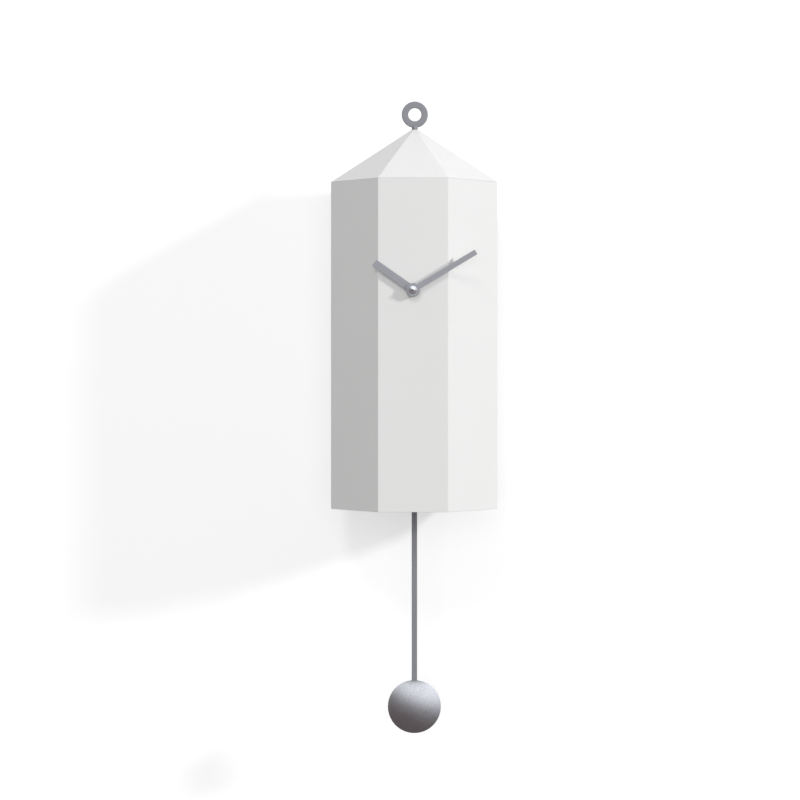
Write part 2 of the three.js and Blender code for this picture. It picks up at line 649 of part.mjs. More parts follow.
function speakerFrame() {
  const low = BASE_TOP + GAP;
  const { flange, basket, height } = SPEAKER;
  return turnedZ([
    [flange, low],
    [flange, low + 1.3],
    [flange - 2, low + 1.3],
    [basket + 1, low + height],
    [8, low + height],
    [8, low + height - 1],
    [basket, low + height - 1],
    [flange - 3.2, low + 1],
    [flange - 3.2, low],
    [flange, low],
  ], FINE);
}

function speakerCone() {
  const low = BASE_TOP + GAP;
  return turnedZ([
    [SPEAKER.flange - 3.9, low + 0.4],
    [SPEAKER.flange - 3.9, low + 0.9],
    [SPEAKER.flange - 5, low + 0.9],
    [6, low + 7.5],
    [0, low + 6.2],
    [0, low + 5.6],
    [5.6, low + 6.8],
    [SPEAKER.flange - 5.2, low + 0.4],
    [SPEAKER.flange - 3.9, low + 0.4],
  ], FINE / 2);
}

function speakerMagnet() {
  const low = BASE_TOP + 2 * GAP + SPEAKER.height;
  return barZ(SPEAKER.magnet, [low, low + SPEAKER.magnetThick], [0, 0], { sides: FINE });
}

function volumeKnob() {
  const { radius, top, notch, notchAt, shaft } = VOLUME;
  const notches = [];
  for (let step = 0; step < VOLUME.notches; step += 1) {
    const at = onCircle(notchAt, step * 360 / VOLUME.notches);
    notches.push(barZ(notch, [CONTROL.low - 1, top + 1], at, { sides: 8 }));
  }
  const knob = cut(barZ(radius, [CONTROL.low, top], [0, 0], { sides: FINE }), ...notches);
  const pointer = box([-0.6, 0.6], [1, radius + 1], [CONTROL.low - 1, CONTROL.low + 0.6]);
  return join(cut(knob, pointer), barZ(shaft, [top - 0.5, BOARD.bottom - GAP], [0, 0]));
}

function testButton() {
  const { radius, face, chamfer, flange, stem } = BUTTON;
  const shoulder = CONTROL.low + chamfer;
  return join(
    barZ(face, [CONTROL.low, shoulder], [0, 0], { endRadius: radius }),
    barZ(radius, [shoulder, BASE_TOP + 1]),
    barZ(flange, [BASE_TOP + 0.6, BASE_TOP + 1.8]),
    barZ(stem, [BASE_TOP + 1, BOARD.bottom - 2]),
  );
}

function modeSwitch() {
  const { half, deep, flangeHalf, flangeDeep, thick } = MODE;
  const low = BASE_TOP + 0.4;
  return join(
    box([-half, half], [-deep, deep], [CONTROL.low, low + thick / 2]),
    box([-flangeHalf, flangeHalf], [-flangeDeep, flangeDeep], [low, low + thick]),
  );
}

function lightSensor() {
  const { radius, flange, shoulder, steps } = SENSOR;
  const low = BASE.bottom + shoulder;
  const dome = [[0, low - radius]];
  for (let step = 1; step < steps; step += 1) {
    const [across, rise] = onCircle(radius, 90 - step * 90 / steps);
    dome.push([across, low - rise]);
  }
  return turnedZ([
    ...dome,
    [radius, low],
    [radius, BASE_TOP + GAP],
    [flange, BASE_TOP + GAP],
    [flange, BASE_TOP + 1.5],
    [0, BASE_TOP + 1.5],
  ]);
}

function batteryHolder() {
  const { half, back, front, bottom, top, wall } = HOLDER;
  const inner = half - wall;
  return cut(
    box([-half, half], [front, back], [bottom, top]),
    box([-inner, inner], [front + wall, back + 1], [bottom + wall, top - wall]),
  );
}

function batteryDoor() {
  const { half, bottom, top, thick } = DOOR;
  const tongueSpan = [-TONGUE.half, TONGUE.half];
  const tongueDeep = [TONGUE.reach, -thick + RUN];
  const tongues = [
    box(tongueSpan, tongueDeep, [top - TONGUE.inset - TONGUE.thick, top - TONGUE.inset]),
    box(tongueSpan, tongueDeep, [bottom + TONGUE.inset, bottom + TONGUE.inset + TONGUE.thick]),
  ];
  const gripRibs = [];
  for (let rib = 0; rib < GRIP.ribs; rib += 1) {
    const z = top - GRIP.below - rib * GRIP.pitch;
    gripRibs.push(box([-GRIP.half, GRIP.half], [-GRIP.depth, 1], [z - GRIP.width / 2, z + GRIP.width / 2]));
  }
  const lid = box([-half, half], [-thick, 0], [bottom, top]);
  return cut(join(lid, ...tongues), ...gripRibs);
}

// Cylindrical cell along Z, its centre at the origin, the positive nub on top.
function cell() {
  const half = CELL.body / 2;
  return join(
    barZ(CELL.radius, [-half, half]),
    barZ(CELL.nubRadius, [half - 0.5, half + CELL.nub]),
  );
}

// ---------------------------------------------------------------- placing

place('case_shell', caseShell(), WHITE);
place('roof', roof(), WHITE);
place('back_panel', backPanel(), WHITE);
place('hanger_plate', hangerPlate(), STEEL);
place('base_plate', basePlate(), WHITE);
backScrews.forEach(([x, z], index) => {
  place(`back_screw_${index + 1}`, countersunkScrew(7), STEEL, [x, 0, z]);
});
baseScrews.forEach(([x, y], index) => {
  place(`base_screw_${index + 1}`, panScrewUp(7), STEEL, [x, y, BASE.bottom - GAP]);
});

const washerLow = ROOF.bossZ - GAP - RING_WASHER.thick;
const nutLow = washerLow - GAP - RING_NUT.height;
const studBore = RING.stud + GAP;
place('hanging_ring', hangingRing(), ROD_GREY, [0, MID_Y, RING.z]);
place('ring_washer', washerZ(RING_WASHER.outer, studBore, RING_WASHER.thick), STEEL, [0, MID_Y, washerLow]);
place('ring_nut', hexNutZ(RING_NUT.acrossFlats, studBore, RING_NUT.height), STEEL, [0, MID_Y, nutLow]);

place('fixing_washer', fixingWasher(), STEEL);
place('fixing_nut', fixingNut(), BRASS);
place('movement_housing', movementHousing(), BLACK);
place('movement_cover', movementCover(), BLACK);
place('stator', stator(), STEEL);
place('motor_coil', motorCoil(), COPPER);
place('circuit_board', box([-25.5, -3], [-135, -134.2], [-25, 25]), BOARD_GREEN);

place('pendulum_housing', pendulumHousing(), BLACK);
place('drive_coil', driveCoil(), COPPER);
place('pivot_pin', pivotPin(), STEEL);
const clockCell = new THREE.Group();
clockCell.position.set(0, CLOCK_CELL.y, CLOCK_CELL.z);
clockCell.rotation.y = Math.PI / 2;
clock.add(clockCell);
place('clock_cell', cell(), CELL_SLEEVE, [0, 0, 0], clockCell);

place('minute_hand', hand(MINUTE, minuteDegrees, HAND.minuteBack), HAND_GREY);
place('cap_nut', capNut(), CHROME);
place('centre_wheel', centreWheel(), BRASS);
place('hour_hand', hand(HOUR, hourDegrees, HAND.hourBack), HAND_GREY);
place('hour_wheel', hourWheel(), IVORY);
place('minute_wheel', minuteWheel(), IVORY, [minuteWheelAt[0], 0, minuteWheelAt[1]]);
place('setting_knob', settingKnob(), IVORY, [settingAt[0], 0, settingAt[1]]);

place('swing_arm', swingArm(), IVORY);
const magnetBack = ARM.front - GAP;
const magnet = barY(ARM_MAGNET.radius, [magnetBack - ARM_MAGNET.thick, magnetBack]);
const bobDisc = barY(BOB_BACK.radius, [BOB_BACK.front, BOB_BACK.back], [0, 0], { sides: FINE });
place('swing_magnet', magnet, STEEL, [0, 0, DRIVE_COIL.z]);
place('pendulum_rod', pendulumRod(), ROD_GREY);
place('bob_shell', bobShell(), BOB, [0, 0, PENDULUM.bobZ]);
place('bob_back', bobDisc, BOB, [0, 0, PENDULUM.bobZ]);
place('bob_clip', bobClip(), STEEL, [0, 0, PENDULUM.bobZ]);

const speaker = new THREE.Group();
speaker.position.set(0, SPEAKER.y, 0);
clock.add(speaker);
place('speaker_frame', speakerFrame(), STEEL, [0, 0, 0], speaker);
place('speaker_cone', speakerCone(), PAPER, [0, 0, 0], speaker);
place('speaker_magnet', speakerMagnet(), STEEL, [0, 0, 0], speaker);

const boardSpan = [BOARD.bottom, BOARD.bottom + BOARD.thick];
const boardHoles = holesZ(BOARD.hole, [BOARD.bottom - 1, BOARD.bottom + 3], boardScrews);
const boardPlate = box([-BOARD.half, BOARD.half], [BOARD.front, BOARD.back], boardSpan);
place('control_board', cut(boardPlate, ...boardHoles), BOARD_GREEN);
boardScrews.forEach(([x, y], index) => {
  const screw = new THREE.Group();
  screw.position.set(x, y, boardSpan[1] + GAP);
  screw.rotation.x = Math.PI;
  clock.add(screw);
  place(`board_screw_${index + 1}`, panScrewUp(6), STEEL, [0, 0, 0], screw);
});
place('volume_knob', volumeKnob(), BLACK, [CONTROL.volumeX, CONTROL.y, 0]);
place('test_button', testButton(), BLACK, [0, CONTROL.y, 0]);
place('mode_switch', modeSwitch(), BLACK, [CONTROL.modeX, CONTROL.y, 0]);
place('light_sensor', lightSensor(), LENS, [...sensorPlace, 0]);

const cellZ = (DOOR.bottom + DOOR.top) / 2 - 0.6;
place('battery_holder', batteryHolder(), BLACK);
place('sound_cell_1', cell(), CELL_SLEEVE, [-8.4, -11, cellZ]);
place('sound_cell_2', cell(), CELL_SLEEVE, [8.4, -11, cellZ]);
const contact = () => box([-15, 15], [-17, -5], [-0.3, 0.3]);
place('contact_top', contact(), STEEL, [0, 0, cellZ + CELL.body / 2 + CELL.nub + 0.8]);
place('contact_bottom', contact(), STEEL, [0, 0, cellZ - CELL.body / 2 - 0.8]);
place('battery_door', batteryDoor(), WHITE);

export default clock;
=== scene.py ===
"""An octagonal wall clock: white case and roof, grey hands, hanging ring and a disc pendulum.

Metres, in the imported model's own frame: the front faces -Y, the wall is the plane Y = 0, +Z is up.
"""

import json
import math

import bmesh
import bpy
from mathutils import Matrix, Vector


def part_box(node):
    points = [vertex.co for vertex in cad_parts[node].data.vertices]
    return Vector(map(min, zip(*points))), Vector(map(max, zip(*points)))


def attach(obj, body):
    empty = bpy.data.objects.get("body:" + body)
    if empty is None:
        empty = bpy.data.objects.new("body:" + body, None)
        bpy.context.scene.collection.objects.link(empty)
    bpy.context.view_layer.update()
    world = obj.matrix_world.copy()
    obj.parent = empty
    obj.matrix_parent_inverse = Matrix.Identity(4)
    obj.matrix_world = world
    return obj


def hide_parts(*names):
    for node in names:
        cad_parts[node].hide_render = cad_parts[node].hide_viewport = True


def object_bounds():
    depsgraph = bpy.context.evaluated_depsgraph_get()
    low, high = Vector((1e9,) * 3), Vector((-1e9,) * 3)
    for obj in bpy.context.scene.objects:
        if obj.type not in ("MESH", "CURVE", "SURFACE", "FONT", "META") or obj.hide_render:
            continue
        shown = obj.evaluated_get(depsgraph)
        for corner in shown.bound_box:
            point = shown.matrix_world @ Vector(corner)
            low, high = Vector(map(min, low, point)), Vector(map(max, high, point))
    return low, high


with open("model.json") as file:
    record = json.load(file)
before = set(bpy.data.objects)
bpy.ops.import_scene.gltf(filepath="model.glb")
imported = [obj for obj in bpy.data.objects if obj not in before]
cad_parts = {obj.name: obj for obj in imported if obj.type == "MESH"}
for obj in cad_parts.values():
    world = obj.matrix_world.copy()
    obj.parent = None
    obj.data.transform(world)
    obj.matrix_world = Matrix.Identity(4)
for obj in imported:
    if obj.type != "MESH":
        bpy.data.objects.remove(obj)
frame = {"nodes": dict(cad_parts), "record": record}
cad_low, cad_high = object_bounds()
MM = 0.001

# ------------------------------------------------------------------ camera, light and stage

VIEW_AXIS = Vector((38.7, 0, -67.4)) * MM  # where the level line of sight meets the wall
CAMERA_DISTANCE = 2035 * MM
SENSOR = 36.0  # sensor width and focal length, both in millimetres as Blender wants them
LENS = 96.2
SHIFT = (-0.0713, -0.042)

# Colours of the world by height: 0 is straight down, 0.5 the horizon and 1 straight up.
WORLD_LIGHT = [
    (0.4, (0.245, 0.243, 0.243)),
    (0.5, (0.29, 0.29, 0.292)),
    (1.0, (0.44, 0.44, 0.45)),
]
WORLD_MIRROR = [
    (0.20, (0.158, 0.133, 0.137)),
    (0.35, (0.24, 0.222, 0.226)),
    (0.515, (0.25, 0.25, 0.265)),
    (0.61, (0.80, 0.82, 0.88)),
    (0.85, (1.44, 1.48, 1.57)),
]
MIRROR_LEAN = 0.40  # how far the glow that metal mirrors leans to the right

# Name, direction from the clock, distance in metres, disc diameter in metres, watts.
SOFTBOXES = [
    ("key", (0.848, -0.424, 0.318), 9.0, 1.1, 514),
    ("fill", (-0.147, -0.79, 0.61), 4.0, 1.0, 30),
    ("front", (0, -1, 0.05), 4.5, 2.5, 57),
    ("rim", (-0.6, 0.3, 0.74), 4.5, 1.6, 38),
]
LIGHT_AIM = Vector((0, -75, -100)) * MM

STAGE_REACH = 3.0  # from the clock to the sheets' edges
FLOOR_DROP = 0.9  # from the bob's bottom to the floor
WALL_GAP = 0.6 * MM
FLOOR_TONE = 0.62
WALL_TONE = 0.65
WALL_LIFT = 0.47  # the wall's own glow, which washes shadows out as in the photograph


def add_camera():
    data = bpy.data.cameras.new("camera")
    data.sensor_width = SENSOR
    data.lens = LENS
    data.shift_x, data.shift_y = SHIFT
    camera = bpy.data.objects.new("camera", data)
    camera.location = (VIEW_AXIS.x, -CAMERA_DISTANCE, VIEW_AXIS.z)
    camera.rotation_euler = (math.radians(90), 0, 0)
    bpy.context.scene.collection.objects.link(camera)
    bpy.context.scene.camera = camera


def add_softbox(name, towards, distance, size, watts):
    """A disc lamp that metal doesn't mirror: mirrored light comes from the world alone."""
    data = bpy.data.lights.new(name, "AREA")
    data.shape = "DISK"
    data.size = size
    data.energy = watts
    light = bpy.data.objects.new(name, data)
    direction = Vector(towards).normalized()
    light.location = LIGHT_AIM + direction * distance
    light.rotation_euler = direction.to_track_quat("Z", "Y").to_euler()
    light.visible_glossy = False
    bpy.context.scene.collection.objects.link(light)


def add_world():
    """Even studio light, brighter overhead than below; metal mirrors a stronger ceiling glow."""
    world = bpy.data.worlds.new("studio")
    world.use_nodes = True
    nodes, links = world.node_tree.nodes, world.node_tree.links
    background = nodes["Background"]
    split = nodes.new("ShaderNodeSeparateXYZ")
    links.new(nodes.new("ShaderNodeTexCoord").outputs["Generated"], split.inputs[0])
    lean = nodes.new("ShaderNodeMath")
    lean.operation = "MULTIPLY_ADD"
    lean.inputs[1].default_value = MIRROR_LEAN
    links.new(split.outputs["X"], lean.inputs[0])
    links.new(split.outputs["Z"], lean.inputs[2])
    ramps = []
    for stops, height in ((WORLD_LIGHT, split.outputs["Z"]), (WORLD_MIRROR, lean.outputs["Value"])):
        scale = nodes.new("ShaderNodeMapRange")
        scale.inputs["From Min"].default_value = -1
        links.new(height, scale.inputs["Value"])
        ramp = nodes.new("ShaderNodeValToRGB")
        for position, colour in stops[1:-1]:
            ramp.color_ramp.elements.new(position).color = (*colour, 1)
        for end in (0, -1):
            position, colour = stops[end]
            ramp.color_ramp.elements[end].position = position
            ramp.color_ramp.elements[end].color = (*colour, 1)
        links.new(scale.outputs["Result"], ramp.inputs["Fac"])
        ramps.append(ramp.outputs["Color"])
    choice = nodes.new("ShaderNodeMix")
    choice.data_type = "RGBA"
    links.new(nodes.new("ShaderNodeLightPath").outputs["Is Glossy Ray"], choice.inputs["Factor"])
    links.new(ramps[0], choice.inputs["A"])
    links.new(ramps[1], choice.inputs["B"])
    links.new(choice.outputs["Result"], background.inputs["Color"])
    bpy.context.scene.world = world


def stage_sheet(name, corners, material):
    """One large sheet that shows to the camera but adds no light to the clock."""
    mesh = bpy.data.meshes.new(name)
    mesh.from_pydata(corners, [], [range(4)])
    mesh.materials.append(material)
    sheet = bpy.data.objects.new(name, mesh)
    sheet.visible_diffuse = False
    sheet.visible_glossy = False
    bpy.context.scene.collection.objects.link(sheet)
    return sheet


def add_stage():
    reach = STAGE_REACH
    floor_z = cad_low.z - FLOOR_DROP
    corners = [(-reach, -reach), (reach, -reach), (reach, reach), (-reach, reach)]
    floor = [(x, y, floor_z) for x, y in corners]
    stage_sheet("floor", floor, stage_material("floor_paint", FLOOR_TONE, 0.0))
    wall = [(x, WALL_GAP, max(z, floor_z)) for x, z in corners]
    wall_sheet = stage_sheet("wall", wall, stage_material("wall_paint", WALL_TONE, WALL_LIFT))
    wall_sheet.visible_shadow = False


def stage_material(name, value, lift):
    """Plain matt paint with an even glow of its own, seen from the front and clear from behind."""
    material = bpy.data.materials.new(name)
    material.use_nodes = True
    nodes, links = material.node_tree.nodes, material.node_tree.links
    paint = nodes["Principled BSDF"]
    paint.inputs["Base Color"].default_value = (value, value, value, 1)
    paint.inputs["Roughness"].default_value = 1.0
    paint.inputs["Specular IOR Level"].default_value = 0.0
    paint.inputs["Emission Color"].default_value = (1, 1, 1, 1)
    paint.inputs["Emission Strength"].default_value = lift
    side = nodes.new("ShaderNodeNewGeometry")
    clear = nodes.new("ShaderNodeBsdfTransparent")
    mix = nodes.new("ShaderNodeMixShader")
    links.new(side.outputs["Backfacing"], mix.inputs["Fac"])
    links.new(paint.outputs["BSDF"], mix.inputs[1])
    links.new(clear.outputs["BSDF"], mix.inputs[2])
    links.new(mix.outputs["Shader"], nodes["Material Output"].inputs["Surface"])
    return material


# ------------------------------------------------------------------ materials

NOISE_LOW, NOISE_HIGH = 0.3, 0.7  # noise values seldom lie outside these
SPUN_LINES = 5200  # to the metre, along the bob's radius
BOARD_CELLS = 420  # to the metre


class Surface:
    """A Principled material with colour, roughness and bump from noise in the object's own space.

    Noise features and bump depths are in metres.
    """

    def __init__(self, name, metallic=0.0, coat=0.0):
        self.material = bpy.data.materials.new(name)
        self.material.use_nodes = True
        self.tree = self.material.node_tree
        self.shader = self.tree.nodes["Principled BSDF"]
        self.shader.inputs["Metallic"].default_value = metallic
        self.shader.inputs["Coat Weight"].default_value = coat
        self.shader.inputs["Coat Roughness"].default_value = 0.25
        self.place = self.node("ShaderNodeTexCoord").outputs["Object"]

    def node(self, kind, **settings):
        made = self.tree.nodes.new(kind)
        for key, value in settings.items():
            setattr(made, key, value)
        return made

    def link(self, output, socket):
        self.tree.links.new(output, socket)

    def noise(self, feature, detail, stretch=None):
        """Noise whose lumps are about `feature` metres across."""
        where = self.place
        if stretch:
            mapping = self.node("ShaderNodeMapping")
            mapping.inputs["Scale"].default_value = stretch
            self.link(where, mapping.inputs["Vector"])
            where = mapping.outputs["Vector"]
        texture = self.node("ShaderNodeTexNoise")
        texture.inputs["Scale"].default_value = 1 / feature
        texture.inputs["Detail"].default_value = detail
        self.link(where, texture.inputs["Vector"])
        return texture.outputs["Fac"]

    def colour(self, value, dark, light, start=NOISE_LOW, end=NOISE_HIGH):
        """Colour that runs from dark to light while the value runs from start to end."""
        ramp = self.node("ShaderNodeValToRGB")
        first, last = ramp.color_ramp.elements
        first.position, first.color = start, (*dark, 1)
        last.position, last.color = end, (*light, 1)
        self.link(value, ramp.inputs["Fac"])
        self.link(ramp.outputs["Color"], self.shader.inputs["Base Color"])

    def rough(self, value, low, high):
        """Roughness between low and high."""
        scale = self.node("ShaderNodeMapRange")
        span = {"From Min": NOISE_LOW, "From Max": NOISE_HIGH, "To Min": low, "To Max": high}
        for key, number in span.items():
            scale.inputs[key].default_value = number
        self.link(value, scale.inputs["Value"])
        self.link(scale.outputs["Result"], self.shader.inputs["Roughness"])

    def bump(self, *layers):
        """Each layer is a height output and the depth in metres that it stands for."""
        normal = None
        for height, depth in layers:
            node = self.node("ShaderNodeBump")
            node.inputs["Strength"].default_value = 1.0
            node.inputs["Distance"].default_value = depth
            self.link(height, node.inputs["Height"])
            if normal:
                self.link(normal, node.inputs["Normal"])
            normal = node.outputs["Normal"]
        self.link(normal, self.shader.inputs["Normal"])


def shade(colour, factor):
    return tuple(channel * factor for channel in colour)


def powder_coat(name, colour):
    """White powder coat: fine orange peel and a trace of unevenness."""
    surface = Surface(name)
    cloud = surface.noise(0.05, 4)
    surface.colour(cloud, shade(colour, 0.985), colour)
    surface.rough(surface.noise(0.012, 3), 0.46, 0.58)
    surface.bump((surface.noise(0.0016, 2), 0.000012), (surface.noise(0.0004, 1), 0.000006))
    return surface.material


def satin_paint(name, colour):
    """Thin grey metallic paint on sheet metal: fine flake and a faint ripple."""
    surface = Surface(name, metallic=0.35)
    flake = surface.noise(0.00035, 1)
    surface.colour(flake, shade(colour, 0.9), shade(colour, 1.08))
    surface.rough(surface.noise(0.004, 3), 0.42, 0.54)
    surface.bump((surface.noise(0.0009, 2), 0.000006), (flake, 0.000003))
    return surface.material


def turned_metal(name, colour, axis_at):
    """Satin spun metal: fine rings about an axis along Y, softly clouded."""
    surface = Surface(name, metallic=1.0)
    mapping = surface.node("ShaderNodeMapping")
    mapping.inputs["Location"].default_value = (-axis_at.x, 0, -axis_at.z)
    mapping.inputs["Scale"].default_value = (1, 0, 1)
    surface.link(surface.place, mapping.inputs["Vector"])
    length = surface.node("ShaderNodeVectorMath", operation="LENGTH")
    surface.link(mapping.outputs["Vector"], length.inputs[0])
    rings = surface.node("ShaderNodeTexNoise", noise_dimensions="1D")
    rings.inputs["Scale"].default_value = SPUN_LINES
    rings.inputs["Detail"].default_value = 3
    surface.link(length.outputs["Value"], rings.inputs["W"])
    cloud = surface.noise(0.005, 4)
    speck = surface.noise(0.0011, 3)
    surface.colour(speck, shade(colour, 0.88), shade(colour, 1.10))
    surface.rough(cloud, 0.41, 0.49)
    surface.bump((rings.outputs["Fac"], 0.000004), (speck, 0.00003), (cloud, 0.00004))
    return surface.material


def polished(name, colour, roughness):
    """Bright metal with faint drawn lines."""
    surface = Surface(name, metallic=1.0)
    surface.colour(surface.noise(0.002, 3), shade(colour, 0.96), colour)
    surface.rough(surface.noise(0.0012, 4), roughness * 0.7, roughness * 1.4)
    surface.bump((surface.noise(0.0004, 3, stretch=(1, 1, 6)), 0.0000015))
    return surface.material


def zinc(name, colour):
    """Galvanised steel, clouded."""
    surface = Surface(name, metallic=1.0)
    surface.colour(surface.noise(0.003, 5), shade(colour, 0.82), shade(colour, 1.05))
    surface.rough(surface.noise(0.0015, 4), 0.28, 0.42)
    surface.bump((surface.noise(0.0005, 3), 0.000006))
    return surface.material


def plastic(name, colour, low, high, grain=0.0005, depth=0.00001):
    """Moulded plastic of this grain, its roughness between low and high."""
    surface = Surface(name)
    surface.colour(surface.noise(0.01, 3), shade(colour, 0.92), shade(colour, 1.06))
    surface.rough(surface.noise(0.003, 3), low, high)
    surface.bump((surface.noise(grain, 2), depth))
    return surface.material


def wound_wire(name, colour):
    """Lacquered copper wire laid turn by turn."""
    surface = Surface(name, metallic=0.9)
    turns = surface.noise(0.0002, 1, stretch=(0.1, 0.1, 1))
    surface.colour(turns, shade(colour, 0.6), shade(colour, 1.15))
    surface.rough(surface.noise(0.001, 2), 0.25, 0.4)
    surface.bump((turns, 0.00004))
    return surface.material


def board_green(name, colour):
    """Solder resist over etched tracks."""
    surface = Surface(name, coat=0.3)
    tracks = surface.node("ShaderNodeTexVoronoi", distance="CHEBYCHEV")
    tracks.inputs["Scale"].default_value = BOARD_CELLS
    surface.link(surface.place, tracks.inputs["Vector"])
    surface.colour(tracks.outputs["Distance"], shade(colour, 0.75), shade(colour, 1.35), 0.2, 0.5)
    surface.rough(surface.noise(0.002, 2), 0.3, 0.42)
    surface.bump((tracks.outputs["Distance"], 0.00002))
    return surface.material


def felted_paper(name, colour):
    """Pressed fibres of a speaker cone."""
    surface = Surface(name)
    fibre = surface.noise(0.0006, 6)
    surface.colour(fibre, shade(colour, 0.6), shade(colour, 1.5))
    surface.rough(fibre, 0.85, 0.98)
    surface.bump((fibre, 0.00003))
    return surface.material


def make_materials():
    white = (0.76, 0.757, 0.75)
    return {
        "case_white": powder_coat("case_white", white),
        "roof_white": powder_coat("roof_white", white),
        "hand_grey": satin_paint("hand_grey", (0.37, 0.375, 0.405)),
        "rod_grey": satin_paint("rod_grey", (0.292, 0.297, 0.322)),
        "bob_grey": turned_metal("bob_grey", (0.60, 0.60, 0.61), centre_of("bob_shell")),
        "chrome": polished("chrome", (0.82, 0.82, 0.83), 0.09),
        "steel": zinc("steel", (0.55, 0.56, 0.57)),
        "brass": polished("brass", (0.62, 0.46, 0.20), 0.2),
        "copper": wound_wire("copper", (0.55, 0.24, 0.12)),
        "black_plastic": plastic("black_plastic", (0.018, 0.019, 0.021), 0.45, 0.6),
        "ivory_plastic": plastic("ivory_plastic", (0.72, 0.69, 0.60), 0.35, 0.5),
        "board": board_green("board", (0.03, 0.13, 0.07)),
        "cell_sleeve": plastic("cell_sleeve", (0.05, 0.06, 0.085), 0.22, 0.34, 0.002, 0.000004),
        "cone_paper": felted_paper("cone_paper", (0.03, 0.03, 0.03)),
        "sensor_lens": plastic("sensor_lens", (0.02, 0.025, 0.03), 0.06, 0.12, 0.002, 0.000002),
    }


# ------------------------------------------------------------------ mesh tools

FLAT_SHARP = 35  # degrees between faces from which an edge shows sharp
ROUND_SHARP = 50


def centre_of(node):
    low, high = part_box(node)
    return (low + high) / 2


def finish_piece(piece, node, sharp=FLAT_SHARP):
    """Gives a piece smooth shading that keeps flat faces flat, the material of its node's slot and
    its node's body, and hides the CAD node.
    """
    mesh = piece.data
    mesh.materials.clear()
    mesh.materials.append(materials[slot_of[node]])
    for polygon in mesh.polygons:
        polygon.use_smooth = True
    mesh.set_sharp_from_angle(angle=math.radians(sharp))
    weighted = piece.modifiers.new("flat_faces", "WEIGHTED_NORMAL")
    weighted.keep_sharp = True
    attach(piece, body_of[node])
    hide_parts(node)


def object_from(bm, name):
    """Turns the bmesh into an object with its faces turned outwards, and frees it."""
    bmesh.ops.recalc_face_normals(bm, faces=bm.faces)
    mesh = bpy.data.meshes.new(name)
    bm.to_mesh(mesh)
    bm.free()
    made = bpy.data.objects.new(name, mesh)
    bpy.context.scene.collection.objects.link(made)
    return made


def arc(centre, radius, start, end, steps):
    """Points of an arc, its angles in degrees."""
    points = []
    for step in range(steps + 1):
        angle = math.radians(start + (end - start) * step / steps)
        points.append((centre[0] + radius * math.cos(angle), centre[1] + radius * math.sin(angle)))
    return points


def circle(centre, radius, steps=48):
    """Outline of a circle, without a repeated end point."""
    return arc(centre, radius, 0, 360 - 360 / steps, steps - 1)


def rounded(corners, radius, steps=6):
    """A closed outline with every corner rounded; radius is one number, or one for each corner."""
    points = []
    count = len(corners)
    for index, corner in enumerate(corners):
        size = radius[index] if isinstance(radius, (list, tuple)) else radius
        here = Vector(corner)
        back = (Vector(corners[index - 1]) - here).normalized()
        ahead = (Vector(corners[(index + 1) % count]) - here).normalized()
        half = back.angle(ahead) / 2
        middle = here + (back + ahead).normalized() * size / math.sin(half)
        first = here + back * size / math.tan(half) - middle
        last = here + ahead * size / math.tan(half) - middle
        turn = first.angle_signed(last)
        for step in range(steps + 1):
            spoke = first.copy()
            spoke.rotate(Matrix.Rotation(-turn * step / steps, 2))
            points.append(tuple(middle + spoke))
    return points


def rectangle(low, high, radius, steps=5):
    """Outline of a rectangle with rounded corners."""
    (u0, v0), (u1, v1) = low, high
    return rounded([(u0, v0), (u1, v0), (u1, v1), (u0, v1)], radius, steps)


EDGE_ROUNDS = 2
WELD = 2e-6  # points nearer than this are one point
TINY = 1e-7


def slab(name, outlines, low, high, edge, axis):
    """A plate with rounded edges: the first outline is its rim and the others are holes.

    Axis "Y" takes outlines in X and Z, and axis "Z" takes them in X and Y.
    """
    curve = bpy.data.curves.new(name, "CURVE")
    curve.dimensions = "2D"
    curve.fill_mode = "BOTH"
    curve.extrude = (high - low) / 2 - edge
    curve.bevel_depth = edge
    curve.bevel_resolution = EDGE_ROUNDS
    curve.offset = -edge
    for outline in outlines:
        spline = curve.splines.new("POLY")
        spline.points.add(len(outline) - 1)
        for point, (u, v) in zip(spline.points, outline):
            point.co = (u, v, 0, 1)
        spline.use_cyclic_u = True
    helper = bpy.data.objects.new(name, curve)
    bpy.context.scene.collection.objects.link(helper)
    depsgraph = bpy.context.evaluated_depsgraph_get()
    mesh = bpy.data.meshes.new_from_object(helper.evaluated_get(depsgraph))
    bpy.data.objects.remove(helper)
    bpy.data.curves.remove(curve)
    middle = (low + high) / 2
    if axis == "Y":
        upright = Matrix.Rotation(math.radians(90), 4, "X")
        mesh.transform(Matrix.Translation((0, middle, 0)) @ upright)
    else:
        mesh.transform(Matrix.Translation((0, 0, middle)))
    bm = bmesh.new()
    bm.from_mesh(mesh)
    bpy.data.meshes.remove(mesh)
    bmesh.ops.remove_doubles(bm, verts=bm.verts, dist=WELD)
    bmesh.ops.dissolve_degenerate(bm, edges=bm.edges, dist=TINY)
    return object_from(bm, name)


